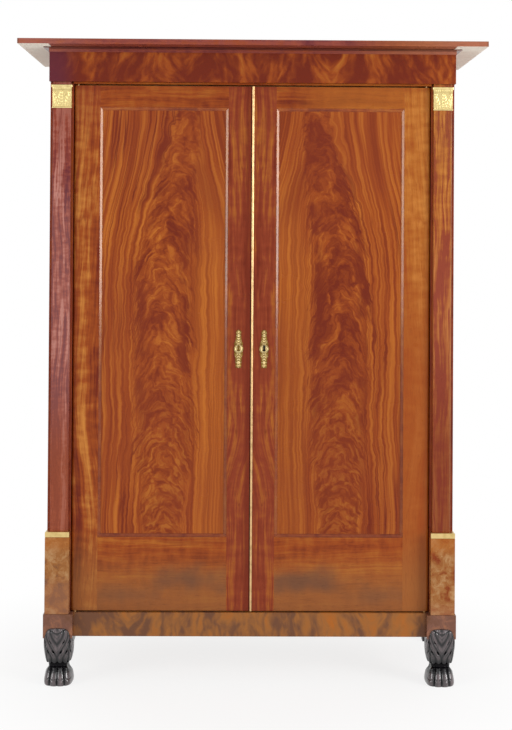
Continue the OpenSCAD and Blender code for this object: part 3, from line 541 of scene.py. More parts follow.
def metal(name, bright, dull, rough, scratches, hollows=None, bloom=0.5, depth=1.0):
    """Worked metal: two tones, patchy tarnish, and fine scratches that blur the gloss."""
    material, add = new_material(name)
    coords = add("place")
    amount = add("smooth", add("noise", coords, 60, 4), 0.4, 0.75, 0, bloom)
    if hollows:
        crests = add("stored", attribute_name=hollows)
        amount = add("most", amount, add("smooth", crests, 0.85, 0.3, 0, depth))
    colour = add("tint", amount, bright, dull)
    lines = add("noise", coords, scratches, 3)
    blur = add("range", lines, 0, 1, rough - 0.08, rough + 0.14)
    bump = add("bump", lines, 0.3, 0.05 * MM)
    add("material output", add("surface", colour, blur, bump, Metallic=1))
    return material


def ebonised_wood(name, c, hollows=None):
    """Carved wood stained black and polished: greyish brown where it is worn, black in the cuts,
    and painted black where shade falls in the paws' recesses.
    """
    material, add = new_material(name)
    figure, fine, *rest = grain_fields(add, "Z", 3.1)
    worn = add("smooth", fine, 0.42, 0.66)
    amount = add("times", worn, 0.35)
    gloss = 0.4
    if hollows:
        crests = add("stored", attribute_name=hollows)
        high = add("smooth", crests, 0.5, 0.98)
        amount = add("times", add("range", worn, 0, 1, 0.45), high)
        # the hollows hold dust and wax and hardly shine; their gloss is cut further, so that they
        # also read dark as painted shade
        gloss = add("range", crests, 0, 0.85, 0.1, 0.8)
    colour = add("tint", amount, c.ebony, c.ebony_worn)
    polished_wood(add, colour, fine, rough=0.17, gloss=gloss, relief=0.1)
    return material


def new_object(name, data):
    """An object in the scene."""
    made = bpy.data.objects.new(name, data)
    bpy.context.scene.collection.objects.link(made)
    return made


def mesh_object(name, points, faces, sharp=None):
    """A closed mesh from points in millimetres, with its faces pointing outwards.

    sharp is the angle in degrees over which its edges stay sharp."""
    mesh = bpy.data.meshes.new(name)
    mesh.from_pydata([tuple(MM * c for c in p) for p in points], [], faces)
    shell = bmesh.new()
    shell.from_mesh(mesh)
    bmesh.ops.remove_doubles(shell, verts=shell.verts, dist=1e-6)
    bmesh.ops.recalc_face_normals(shell, faces=shell.faces)
    shell.to_mesh(mesh)
    shell.free()
    mesh.shade_smooth()
    if sharp is not None:
        mesh.set_sharp_from_angle(angle=math.radians(sharp))
    return new_object(name, mesh)


def skin(rings, n, closed=False):
    """Faces between rings of n points each, with one over either end unless closed."""
    faces = [
        (i * n + j, i * n + (j + 1) % n, (i + 1) % rings * n + (j + 1) % n, (i + 1) % rings * n + j)
        for i in range(rings if closed else rings - 1)
        for j in range(n)
    ]
    if not closed:
        faces += [tuple(range(n)), tuple(range((rings - 1) * n, rings * n))]
    return faces


def keep_crests(made, points, crests):
    """Stores how high each point of a merged mesh stands, from 0 in a hollow to 1 on a crest.

    points and crests are those from before the merging."""
    tree = KDTree(len(points))
    for i, p in enumerate(points):
        tree.insert(Vector(p) * MM, i)
    tree.balance()
    heights = [crests[tree.find(v.co)[1]] for v in made.data.vertices]
    layer = made.data.attributes.new("crest", "FLOAT", "POINT")
    layer.data.foreach_set("value", np.asarray(heights, np.float32))


def put_on(made, body, slot, material, *replaced):
    """Finishes a piece and lets it ride on its body."""
    made.data.materials.append(material)
    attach(made, body)
    if replaced:
        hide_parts(*replaced)


def ease(low, high, value):
    """0 below low, 1 above high, and smooth between them."""
    k = np.clip((value - low) / (high - low), 0, 1)
    return k * k * (3 - 2 * k)


def bulge(value):
    """Square root of a value between 0 and 1: the height of a round form."""
    return np.sqrt(np.clip(value, 0, 1))


def bell(value, width):
    """1 at zero, falling off on both sides over a width."""
    return np.exp(-((value / width) ** 2))


def crest(value):
    """Distance from the middle of each unit step, from 0 there to 1 at its ends."""
    return np.abs(2 * (value - np.floor(value)) - 1)


def pressed(value, power=ROUND_SQUARE):
    """A sine or cosine pressed outwards, for a rounded square section."""
    return np.sign(value) * np.abs(value) ** power


# PAW FEET

# Profiles of the paw: height as a share of the foot's, and share of the half width or reach
PAW_SIDE = (
    (0, 0.06, 0.15, 0.24, 0.32, 0.38, 0.44, 0.52, 0.62, 0.76, 2),
    (0.95, 0.99, 0.96, 0.9, 0.84, 0.81, 0.82, 0.88, 0.95, 0.99, 1),
)
PAW_FRONT = (
    (0, 0.07, 0.13, 0.21, 0.29, 0.36, 0.45, 0.51, 0.62, 0.8, 1, 2),
    (0.98, 1.06, 1.04, 0.97, 0.89, 0.82, 0.78, 0.84, 0.92, 0.98, 1, 1),
)
PAW_REAR = ((0, 0.2, 0.43, 0.62, 0.8, 2), (0.84, 0.82, 0.72, 0.86, 0.97, 1))
# Height and width of a foot, and how far its top stands and rises in front of the block
FOOT_H, FOOT_W, FOOT_PROUD, FOOT_RISE = 156, 100, 12, 34
BLOCK_D, BLOCK_PROUD = 100, 38
# Place of the foot's middle from the middle of the press and behind the door faces
PAW_X, PAW_Y = 638.5, 12
PAW_RINGS, PAW_SIDES = 210, 370
# Turn of the edge between the inner and outer toes, and how far the mesh crowds towards the
# front, in degrees
TOE_EDGE, CROWDING = 36, 20
# Ribs round the ankle, the heights at which they end and spread, and their outward lean
RIBS, RIB_FOOT, RIB_SPREAD, LEAF_LEAN = 16, 71, 93, 0.42
# Height, place between the ribs and depth of the eyes of the leaves
EYES = ((112, 0.0, 4.5), (146, 0.5, 3.2))
# Height and slope of the line at which the tip of the front leaf folds down
CREASE_Z, CREASE_SLOPE = 173, 0.6


def soft(table, u):
    """A profile softened over its corners."""
    return sum(w * np.interp(u + d, *table) for w, d in ((0.25, -0.03), (0.5, 0), (0.25, 0.03)))


def round_groove(edge):
    """0 in the middle of a rounded form and 1 at its edge, where edge is 1."""
    return 1 - bulge(1 - np.clip(edge, 0, 1) ** 2)


def toe_carving(turn, u, toe_depth):
    """Depth of the cuts that shape four toes with claws, knuckles and creases."""
    front = ease(-0.2, 0.35, np.cos(turn))
    first_toe = math.radians(TOE_EDGE - CROWDING * math.sin(math.radians(TOE_EDGE)))
    toe = crest(pressed(np.sin(turn)) / pressed(np.sin(first_toe)))
    below = 1 - ease(0.37, 0.42, u)
    toes = toe_depth * round_groove(toe) * below * (0.75 + 0.25 * ease(0, 0.14, u))
    claw = (1 - ease(0.22, 0.46, toe)) * ease(0.01, 0.04, u) * (1 - ease(0.075, 0.13, u))
    fold = bell(u - 0.14 - 0.03 * toe**2, 0.011) * (1 - ease(0.5, 0.75, toe))
    creases = sum(bell(u - at + 0.02 * toe**2, 0.008) for at in (0.285, 0.315))
    # the toes dip behind the knuckles
    dip = bell(u - 0.33, 0.045)
    tendon = (1 - ease(0, 0.6, toe)) * dip
    cuts = 1.5 * fold + 0.6 * creases * (1 - ease(0.6, 0.9, toe)) - 1.2 * claw
    return front * (toes + cuts + 1.6 * dip - 1.2 * tendon)


def leaf_carving(along, girth, x, z, leaf_depth, vein):
    """Depth of the cuts that shape four leaves, one on each face, out of a ring of ribs.

    Upright ribs with rounded ends stand over the ankle. Higher up they lean away from
    the middle of each face, like the lobes of a leaf, and meet at the corners."""
    face = girth / 4
    from_middle = np.abs(along - face * np.round(along / face))
    width = girth / RIBS
    lean = LEAF_LEAN * np.clip(z - RIB_SPREAD, 0, None)
    lean = lean + 4 * (1 - np.cos(np.clip((z - RIB_SPREAD) / 12, 0, QUARTER)))
    rib = (from_middle - lean) / width
    side = rib - np.floor(rib)
    edge = crest(rib)
    # each lobe laps over the next one, so that one of its edges stands up
    lap = side**2 * (1 - ease(0.86, 1, side))
    lobes = leaf_depth * (0.8 * round_groove(edge) + 0.55 * lap * ease(95, 115, z))
    lobes = lobes + 1.6 * vein * bell(edge, 0.13) * ease(90, 105, z)
    fine = vein * (0.5 + 0.5 * np.cos(2 * math.pi * (4 * side + z / 26)))
    lobes = lobes + 0.6 * fine * ease(92, 105, z) * (1 - ease(0.7, 0.95, edge))
    for height, shift, deep in EYES:
        middle = (from_middle - LEAF_LEAN * (z - RIB_SPREAD) - 4) / width - shift
        narrow = 3.0 * (1 - 0.35 * (z - height) / 8)
        near = np.hypot((middle - np.round(middle)) * width / narrow, (z - height) / 8)
        lobes = lobes + deep * np.clip(1 - near**2, 0, 1)
    corner = bell(face / 2 - from_middle, 2.6) * ease(88, 110, z)
    lobes = lobes + 2.6 * corner
    # rounded ends of the ribs over the deep cut at the ankle
    foot = RIB_FOOT + 6.5 * edge**2
    tuck = round_groove((foot + 7 - z) / 7)
    on_rib = ease(foot - 1.2, foot + 0.6, z)
    # the foot slopes down behind the toes
    behind = ease(0.07, 0.3, np.abs(along) / girth)
    ankle = 7.5 * ease(57 - 24 * behind, 63 - 10 * behind, z)
    leaves = on_rib * (lobes + 2.5 * tuck) + (1 - on_rib) * ankle
    # in front of the block the tip of the leaf folds down in a point
    line = CREASE_Z + CREASE_SLOPE * np.abs(x)
    over = ease(line - 1.4, line + 0.8, z)
    under = ease(line - 9, line - 2, z) * (1 - over)
    rib_lines = 0.5 + 0.5 * np.cos(2 * math.pi * (np.abs(x) + 0.55 * (z - CREASE_Z)) / 6.5)
    tip = 0.9 * rib_lines + 1.3 * bell(x, 1.3) + 0.05 * np.clip(z - line, 0, None)
    return (1 - over) * (leaves + 2.2 * under) + over * tip


def paw_foot(name, sign, sizes):
    """Carved lion's paw: four clawed toes, a pinched ankle, and leaves up to a rounded top."""
    toe_depth, leaf_depth, vein = (v / MM for v in (sizes.toe_depth, sizes.leaf_depth, sizes.vein))
    ring = np.linspace(0, 1, PAW_RINGS + 1)
    height = (FOOT_H + FOOT_RISE) * (ring - 0.05 * np.sin(2 * math.pi * ring))
    even = np.linspace(0, 2 * math.pi, PAW_SIDES, endpoint=False)
    turn = even - math.radians(CROWDING) * np.sin(even)
    # distance round the foot from the middle of its front
    corner_x = FOOT_W / 2 * pressed(np.sin(turn))
    corner_y = BLOCK_D / 2 * pressed(np.cos(turn))
    steps = np.hypot(np.diff(corner_x, append=corner_x[0]), np.diff(corner_y, append=corner_y[0]))
    girth = steps.sum()
    along = np.cumsum(steps) - steps
    along = np.where(along > girth / 2, along - girth, along)
    # the ring at the block's foot is doubled, so that the top steps back in front of the block
    step = int(np.searchsorted(height, FOOT_H))
    height = np.insert(height, step, [FOOT_H, FOOT_H])
    above = np.arange(len(height)) > step
    z, t = np.meshgrid(height, turn, indexing="ij")
    u = z / FOOT_H
    rise = np.clip((z - 0.96 * FOOT_H) / (FOOT_H + FOOT_RISE - 0.96 * FOOT_H), 0, 1)
    top = np.clip(1 - rise**4, 0, 1) ** (1 / 4)
    # the section is squarer towards the top, which is nearly as wide as the block
    power = ROUND_SQUARE - 0.26 * ease(0.6 * FOOT_H, FOOT_H, z)
    a = FOOT_W / 2 * soft(PAW_SIDE, u) * np.maximum(top, 0.3)
    forward = (BLOCK_D / 2 + FOOT_PROUD * top) * soft(PAW_FRONT, u)
    b = np.where(np.cos(t) > 0, forward, 0.48 * BLOCK_D * soft(PAW_REAR, u))
    x = a * pressed(np.sin(t), power)
    y = -b * pressed(np.cos(t), power)
    depth = toe_carving(t, u, toe_depth)
    depth = depth + leaf_carving(along[None, :], girth, x, z, leaf_depth, vein)
    # Painted shade: the ankle and the tops of the toes, where the paw draws in, are stored as
    # hollows, so the wood is painted black there as in shade.
    painted_ankle_shade = 22 * np.clip(0.97 - soft(PAW_FRONT, u), 0, None) * (u < 0.8)
    crests = 1 - np.clip((depth + painted_ankle_shade) / 6, 0, 1)
    # the sole's edge is rounded over 2 mm
    depth = depth + 2 * round_groove(1 - z / 2)
    k = 1 - depth / np.maximum(np.hypot(x, y), 0.12 * FOOT_W)
    x, y = x * k, y * k
    block_y = -BLOCK_PROUD - PAW_Y
    for i in np.nonzero(above)[0]:
        behind = y[i] > block_y
        if behind.all():
            x[i], y[i] = 0, block_y
            continue
        edge = np.abs(x[i][~behind]).max()
        x[i] = np.where(behind, np.clip(x[i], -edge, edge), x[i])
        y[i] = np.minimum(y[i], block_y)
    points = np.stack([sign * (x + PAW_X), y + PAW_Y + FACE_Y / MM, z], -1).reshape(-1, 3)
    made = mesh_object(name, points, skin(len(height), PAW_SIDES))
    keep_crests(made, points, crests.reshape(-1))
    return made


class PRESS_OT_paw_feet(bpy.types.Operator):
    """Carves the two lion-paw feet"""

    bl_idname = "press.paw_feet"
    bl_label = "Paw feet"

    def execute(self, context):
        wood = ebonised_wood("Ebonised and polished carving", context.scene.press_colours, "crest")
        for side, sign in (("left", -1), ("right", 1)):
            made = paw_foot(f"{side}_paw", sign, context.scene.press_sizes)
            put_on(made, "carcass", "ebonised_wood", wood, f"{side}_paw_foot")
        return {"FINISHED"}


# PANEL MOULDINGS

# Section: distance from the edge of the opening, and depth behind the door face. A fillet, a
# step, a flat slope that faces half forwards, and a quirk along the panel. Its edges stay
# sharp over BEAD_SHARP degrees, so that the slope keeps one tone
BEAD = (
    (0.0, 8.0), (0.0, 0.8), (0.3, 0.5), (1.3, 0.5), (1.6, 0.8), (1.6, 1.7),
    (2.0, 1.8), (9.1, 6.03), (9.5, 6.5), (9.6, 7.3), (10.5, 7.4), (10.5, 8.0),
)
BEAD_SHARP = 12
OPENING_X, OPENING_Z = (80, 513.5), (484.5, 1926.5)


def panel_bead(name, sign):
    """Four mitred lengths of moulding round a door panel."""
    (x0, x1), (z0, z1) = OPENING_X, OPENING_Z
    corners = ((x0, z0, 1, 1), (x1, z0, -1, 1), (x1, z1, -1, -1), (x0, z1, 1, -1))
    points = [
        (sign * (x + dx * inward), FACE_Y / MM + depth, z + dz * inward)
        for x, z, dx, dz in corners
        for inward, depth in BEAD
    ]
    return mesh_object(name, points, skin(len(corners), len(BEAD), closed=True), BEAD_SHARP)


class PRESS_OT_panel_beads(bpy.types.Operator):
    """Makes the mouldings round the door panels"""

    bl_idname = "press.panel_beads"
    bl_label = "Panel mouldings"

    def execute(self, context):
        c = context.scene.press_colours
        (x0, x1), (z0, z1) = OPENING_X, OPENING_Z
        # the level lengths run between the mitres at the foot and the head, up to their edge
        beyond = FRAME_HALF - BEAD[-1][0]
        level = ((z0 - beyond, z1 + beyond), "X", ((x0 + x1) / 2, (x1 - x0) / 2))
        wood = straight_mahogany(
            "Polished mahogany moulding", "Z", 3.7, (c.dark, c.middle, c.light),
            # Painted shade: the mouldings are painted darker low down, where they reflect less
            # light.
            fades=(("Z", 1.35, 1.1, c.dark, 0.35),), mirrored=True, rails=level,
            finish={"rough": 0.15, "gloss": 0.5, "relief": 0.02, "shine": "#fff0e0"},
        )
        for side, sign in (("left", -1), ("right", 1)):
            made = panel_bead(f"{side}_panel_bead", sign)
            put_on(made, f"{side}_door", "mahogany", wood, f"{side}_panel_moulding")
        return {"FINISHED"}


# GILT MOUNTS


def acanthus(across, up, half_width, lobes=4):
    """Height from 0 to 1 of an acanthus leaf whose foot is at up = 0 and its tip at up = 1."""
    swell = np.clip(np.sin(math.pi * np.clip(0.12 + 0.88 * up, 0, 1)) ** 0.55, 0, 1)
    lobe = 0.82 + 0.18 * np.abs(np.cos(math.pi * lobes * up)) ** 0.6
    reach = half_width * swell * lobe + 1e-6
    inside = np.abs(across) / reach
    body = bulge(1 - inside**2.4) * ease(0, 0.06, up) * (1 - ease(0.97, 1.0, up))
    flutes = 0.72 + 0.28 * np.cos(2 * math.pi * (lobes * up - 0.9 * np.abs(across) / half_width))
    midrib = 1 - 0.45 * bell(across, 0.09 * half_width)
    curl = 0.75 + 0.35 * ease(0.72, 0.95, up)
    return body * flutes * midrib * curl


def leaf_at(x, z, foot, lean, long, half_width, lobes=4):
    """Height of an acanthus leaf with its foot at a point, leaning by an angle."""
    c, s = math.cos(lean), math.sin(lean)
    dx, dz = x - foot[0], z - foot[1]
    return acanthus(c * dx - s * dz, (s * dx + c * dz) / long, half_width, lobes)


# Half the width of a shaft, its stand and its place, in millimetres
SHAFT_HALF, SHAFT_PROUD, SHAFT_X = 30, 20, 639
# Foot, height, thickness, flare at the head and gap to the shaft of a capital
CAP_Z, CAP_H, CAP_WRAP, CAP_FLARE, CAP_GAP = 1920, 78, 1.5, 3.5, 0.1
# Leaves on half the front of a capital: strength, foot, lean, length, half width and lobes
CAP_SPRAYS = ((0.85, (10, 10.5), 0.42, 46, 8.5, 4), (0.7, (19, 10.5), 0.2, 24, 6, 3))


def capital_relief(x, z, on_side, relief):
    """How far a capital stands off the shaft, x across a face and z above its foot.

    Above a plain and a beaded band stand the leaves, under a row of eggs and a flat plate."""
    foot = 1.9 * bulge(1 - ((z - 2.8) / 2.7) ** 2)
    beads = 0.9 * bulge(1 - ((z - 8) / 1.6) ** 2 - crest(x / 3.4) ** 2)
    under = CAP_FLARE * (1 - bulge(1 - ease(0, 1, (z - 60) / 11) ** 2))
    fillet = 0.8 * ease(59, 60, z) * (1 - ease(61.5, 62.5, z))
    plate = CAP_FLARE * ease(70.8, 71.6, z)
    eggs = 0.9 * bulge(1 - crest(x / 7.5) ** 2 - ((z - 66) / 3.4) ** 2)
    if on_side:
        leaves = leaf_at(x, z, (0, 10.5), 0, 48, 8.5)
    else:
        leaves = leaf_at(x, z, (0, 10.5), 0, 49, 13, 5)
        for s in (-1, 1):
            for strength, *leaf in CAP_SPRAYS:
                leaves = np.maximum(leaves, strength * leaf_at(s * x, z, *leaf))
            # curled tips under the corners
            coil = np.hypot(s * x - 24.5, z - 53)
            curled = bulge(1 - (coil / 4.8) ** 2)
            leaves = np.maximum(leaves, 0.9 * curled * (0.75 + 0.25 * np.cos(2.6 * coil)))
    stand = np.maximum(np.maximum(under, plate), fillet) + eggs
    return CAP_WRAP + np.maximum(np.maximum(foot, beads), stand) + relief * leaves


def capital(name, sign, relief):
    """Cast gilt sleeve round the three open faces of a shaft."""
    step = 0.5
    side = np.arange(0, SHAFT_PROUD + step / 2, step)
    front = np.arange(-SHAFT_HALF, SHAFT_HALF + step / 2, step)
    corner = [k * QUARTER for k in np.linspace(0, 1, 7)[1:-1]]
    half, proud, middle = SHAFT_HALF, SHAFT_PROUD, SHAFT_PROUD / 2
    # place on the shaft, way out, distance across the face, and whether it is on a side
    path = (
        [((-half, -d), (-1, 0), d - middle, True) for d in side]
        + [((-half, -proud), (-math.cos(a), -math.sin(a)), -half, False) for a in corner]
        + [((d, -proud), (0, -1), d, False) for d in front]
        + [((half, -proud), (math.sin(a), -math.cos(a)), half, False) for a in corner]
        + [((half, -d), (1, 0), d - middle, True) for d in side[::-1]]
    )
    height = np.arange(0, CAP_H + step / 2, step)
    points, crests = [], []
    for (px, py), (nx, ny), across, on_side in path:
        squared = (abs(nx) ** 6 + abs(ny) ** 6) ** (1 / 6)
        stand = capital_relief(np.full_like(height, across), height, on_side, relief)
        # the last two points are on the inside, close to the shaft
        for z, o in (*zip(height, stand), (CAP_H, CAP_GAP), (0, CAP_GAP)):
            points.append((px + nx / squared * o, py + ny / squared * o, z))
        crests += [*np.minimum(1, (stand - CAP_WRAP) / relief), 0, 0]
    points = [(sign * (SHAFT_X + x), y + FACE_Y / MM, z + CAP_Z) for x, y, z in points]
    made = mesh_object(name, points, skin(len(path), len(height) + 2))
    keep_crests(made, points, crests)
    return made


# Place, height, width and thickness of an escutcheon, and radius and drop of its keyhole
ESC_X, ESC_Z, ESC_H, ESC_W, ESC_T = 43, 1116, 128, 33, 2.5
KEY_EYE, KEY_DROP = 4.4, 15
# Leaves of an escutcheon: 1 above the boss and -1 below it, strength, foot, lean, length,
# half width and lobes. Those that lean are mirrored
ESC_LEAVES = (
    (1, 1, (0, 15), 0, 34, 8, 4), (1, 1, (0, 46), 0, 17, 5, 2),
    (-1, 1, (0, 15), 0, 36, 8.5, 4), (-1, 1, (0, 47), 0, 16.5, 5, 2),
    (1, 0.85, (3, 14), 0.55, 18, 4.5, 3), (1, 0.8, (1.5, 46), 0.5, 14, 3.2, 2),
    (-1, 0.85, (3, 14), 0.55, 18, 4.5, 3), (-1, 0.8, (2, 46), 0.3, 16, 3.4, 2),
)


def escutcheon_half(z):
    """Half width of an escutcheon at height z about its middle: four discs and two tapers."""
    up = np.interp(z, (0.16 * ESC_H, 0.42 * ESC_H), (0.36 * ESC_W, 0.22 * ESC_W), 0, 0)
    down = np.interp(z, (-0.5 * ESC_H, -0.15 * ESC_H), (0.28 * ESC_W, 0.36 * ESC_W), 0, 0)
    half = np.maximum(up, down)
    for middle, radius in (
        (0, ESC_W / 2), (0.13 * ESC_H, 0.43 * ESC_W), (-0.14 * ESC_H, 0.44 * ESC_W),
        (ESC_H / 2 - 0.29 * ESC_W, 0.29 * ESC_W),
    ):
        half = np.maximum(half, np.sqrt(np.clip(radius**2 - (z - middle) ** 2, 0, None)))
    return half


def escutcheon_relief(x, z, relief):
    """Height of the casting over its thin ground."""
    radius = np.hypot(x, z)
    ring = bulge(1 - ((radius - 10.2) / 1.7) ** 2)
    around = np.arctan2(z, x) * 22 / (2 * math.pi)
    beads = 0.8 * bulge(1 - ((radius - 13.6) / 1.3) ** 2 - crest(around) ** 2)
    boss = 0.55 * (1 - ease(7.6, 8.8, radius))
    leaves = [
        strength * leaf_at(s * x, up * z, foot, lean, *leaf)
        for up, strength, foot, lean, *leaf in ESC_LEAVES
        for s in ((-1, 1) if lean else (1,))
    ]
    bars = 0.8 * sum(bell(z - at, 1.1) for at in (44.5, -45.5))
    return relief * np.maximum.reduce([ring, beads, boss, bars, *leaves])


def escutcheon(name, sign, relief):
    """Cast and chased key plate with leaves above and below a beaded boss."""
    rows, cols = 300, 84
    height = np.linspace(-ESC_H / 2, ESC_H / 2, rows)
    height = ESC_H / 2 * np.sign(height) * (1 - (1 - np.abs(height) / (ESC_H / 2)) ** 1.15)
    half = escutcheon_half(height)
    scallop = 1 - 0.05 * np.abs(np.sin(height / ESC_H * math.pi * 13)) * (np.abs(height) > 20)
    half = np.maximum(half * scallop, 0.4)
    across = np.sin(np.linspace(-QUARTER, QUARTER, cols))
    z = np.repeat(height[:, None], cols, 1)
    x = half[:, None] * across[None, :]
    # the edge of the plate is rounded over 1.2 mm
    edge = np.clip((half[:, None] - np.abs(x)) / 1.2, 0, 1)
    rounded = bulge(1 - (1 - edge) ** 2)
    ground = ESC_T - 0.9 + 0.5 * rounded
    raised = escutcheon_relief(x, z, relief) * rounded
    front = np.stack([x, -(ground + raised), z], -1).reshape(-1, 3)
    back = np.stack([x, np.full_like(x, -0.02), z], -1).reshape(-1, 3)
    points = np.concatenate([front, back])
    n = rows * cols
    grid = [
        (i * cols + j, i * cols + j + 1, (i + 1) * cols + j + 1, (i + 1) * cols + j)
        for i in range(rows - 1)
        for j in range(cols - 1)
    ]
    faces = grid + [tuple(n + v for v in reversed(f)) for f in grid]
    rim = (
        [(j, j + 1) for j in range(cols - 1)]
        + [(i * cols + cols - 1, (i + 1) * cols + cols - 1) for i in range(rows - 1)]
        + [((rows - 1) * cols + j + 1, (rows - 1) * cols + j) for j in range(cols - 2, -1, -1)]
        + [((i + 1) * cols, i * cols) for i in range(rows - 2, -1, -1)]
    )
    faces += [(b, a, n + a, n + b) for a, b in rim]
    crests = np.concatenate([(raised / relief).reshape(-1), np.zeros(n)])
    points = points + [0, FACE_Y / MM, ESC_Z]
    points[:, 0] += sign * ESC_X
    made = mesh_object(name, points, faces)
    keep_crests(made, points, crests)
    return made


def keyhole_cutter(sign, depth_from, depth_to):
    """Solid of the keyhole's outline, to be cut from an escutcheon."""
    neck = math.radians(48)
    outline = [
        (KEY_EYE * math.cos(a), KEY_EYE * math.sin(a))
        for a in np.linspace(-neck, math.pi + neck, 33)
    ]
    foot = 1.05 * KEY_EYE
    outline += [(-foot, -KEY_DROP), (foot, -KEY_DROP)]
    n = len(outline)
    points = [
        (x + sign * ESC_X, y + FACE_Y / MM, z + ESC_Z + KEY_DROP / 2)
        for y in (depth_from, depth_to)
        for x, z in outline
    ]
    return mesh_object("keyhole_cutter", points, skin(2, n))


def cut(made, cutter):
    """Takes one solid from another and removes the cutter."""
    boolean = made.modifiers.new("Keyhole", "BOOLEAN")
    boolean.object, boolean.operation, boolean.solver = cutter, "DIFFERENCE", "EXACT"
    depsgraph = bpy.context.evaluated_depsgraph_get()
    mesh = bpy.data.meshes.new_from_object(made.evaluated_get(depsgraph))
    made.modifiers.remove(boolean)
    mesh.set_sharp_from_angle(angle=math.radians(55))
    old, made.data = made.data, mesh
    bpy.data.meshes.remove(old)
    bpy.data.objects.remove(cutter)


class PRESS_OT_gilt_mounts(bpy.types.Operator):
    """Makes the two capitals and the two escutcheons"""

    bl_idname = "press.gilt_mounts"
    bl_label = "Gilt mounts"

    def execute(self, context):
        c, relief = context.scene.press_colours, context.scene.press_sizes.mount_relief / MM
        gilding = metal(
            "Mercury gilding on cast brass", c.gilding, c.gilding_deep, 0.34, 900, "crest",
            bloom=0.55, depth=0.3,
        )
        worn = metal(
            "Worn gilding on cast key plates", c.keyplate, c.keyplate_deep, 0.36, 900, "crest",
            bloom=0.3,
        )
        for side, sign in (("left", -1), ("right", 1)):
            made = capital(f"{side}_cast_capital", sign, relief)
            put_on(made, "carcass", "gilt_brass", gilding, f"{side}_capital")
            made = escutcheon(f"{side}_key_plate", sign, relief)
            cut(made, keyhole_cutter(sign, -9, 1 if sign > 0 else -ESC_T / 2))
            put_on(made, f"{side}_door", "gilt_brass", worn, f"{side}_escutcheon")
        return {"FINISHED"}


# SCREWS


def screw_tree(material):
    """Geometry Nodes that set a slotted screw head on every point, facing its own way."""
    tree = bpy.data.node_groups.new("Slotted screw heads", "GeometryNodeTree")
    tree.interface.new_socket("Points", in_out="INPUT", socket_type="NodeSocketGeometry")
    for name in ("Head radius", "Head height", "Slot width"):
        tree.interface.new_socket(name, in_out="INPUT", socket_type="NodeSocketFloat")
    tree.interface.new_socket("Screws", in_out="OUTPUT", socket_type="NodeSocketGeometry")
    add = partial(add_node, tree)
    given, radius, rise, slot, *rest = add("group input")
    ball = add("GeometryNodeMeshUVSphere", Segments=24, Rings=12, Radius=radius)
    flat = add("together", 1.0, 1.0, add("over", rise, radius))
    dome = add("GeometryNodeTransform", Geometry=ball, Scale=flat)
    slot_size = add("together", add("times", radius, 3.0), slot, rise)
    bar = add("GeometryNodeMeshCube", Size=slot_size)
    lift = add("together", None, None, rise)
    raised = add("GeometryNodeTransform", Geometry=bar, Translation=lift)
    slotted = add("GeometryNodeMeshBoolean", dome, raised, operation="DIFFERENCE")
    vector = {"data_type": "FLOAT_VECTOR"}
    facing = add("GeometryNodeInputNamedAttribute", Name="facing", **vector)
    upright = add("FunctionNodeAlignRotationToVector", Vector=facing, axis="Z")
    half_turn = (0, 0, math.pi)
    spin = add("FunctionNodeRandomValue", Min=(0, 0, 0), Max=half_turn, Seed=11, **vector)
    turned = add("FunctionNodeRotateRotation", upright, spin, rotation_space="LOCAL")
    points = add("GeometryNodeMeshToPoints", given)
    heads = add(
        "GeometryNodeInstanceOnPoints", Points=points, Instance=slotted, Rotation=turned
    )
    real = add("GeometryNodeRealizeInstances", heads)
    add("group output", add("GeometryNodeSetMaterial", real, Material=material))
    return tree


def screws(name, places, tree, sizes, small=1.0):
    """Plain mesh of the screws at (place, way out) in millimetres."""
    mesh = bpy.data.meshes.new(name)
    mesh.from_pydata([tuple(MM * c for c in place) for place, way in places], [], [])
    facing = mesh.attributes.new("facing", "FLOAT_VECTOR", "POINT")
    facing.data.foreach_set("vector", [c for place, way in places for c in way])
    made = new_object(name, mesh)
    nodes = made.modifiers.new("Screws", "NODES")
    nodes.node_group = tree
    values = {
        "Head radius": small * sizes.screw_head,
        "Head height": small * 0.28 * sizes.screw_head,
        "Slot width": small * sizes.screw_slot,
    }
    for item in tree.interface.items_tree:
        if item.name in values:
            nodes[item.identifier] = values[item.name]
    depsgraph = bpy.context.evaluated_depsgraph_get()
    made.data = bpy.data.meshes.new_from_object(made.evaluated_get(depsgraph))
    made.modifiers.remove(nodes)
    bpy.data.meshes.remove(mesh)
    return made


# Places of the screws: the back face of the lock and keeper, of the bolt guides and of the
# pivot plates behind the door faces, the lower ends of the guides, and the pivot plates'
# levels. All in millimetres
LOCK_BACK, GUIDE_BACK, PIVOT_BACK = 42, 28, 9
GUIDE_FEET, GUIDE_X, GUIDE_SCREW_X = (1855, 263), -42, 7.4
PIVOT_LEVELS = ((235, 1), (2003, -1))


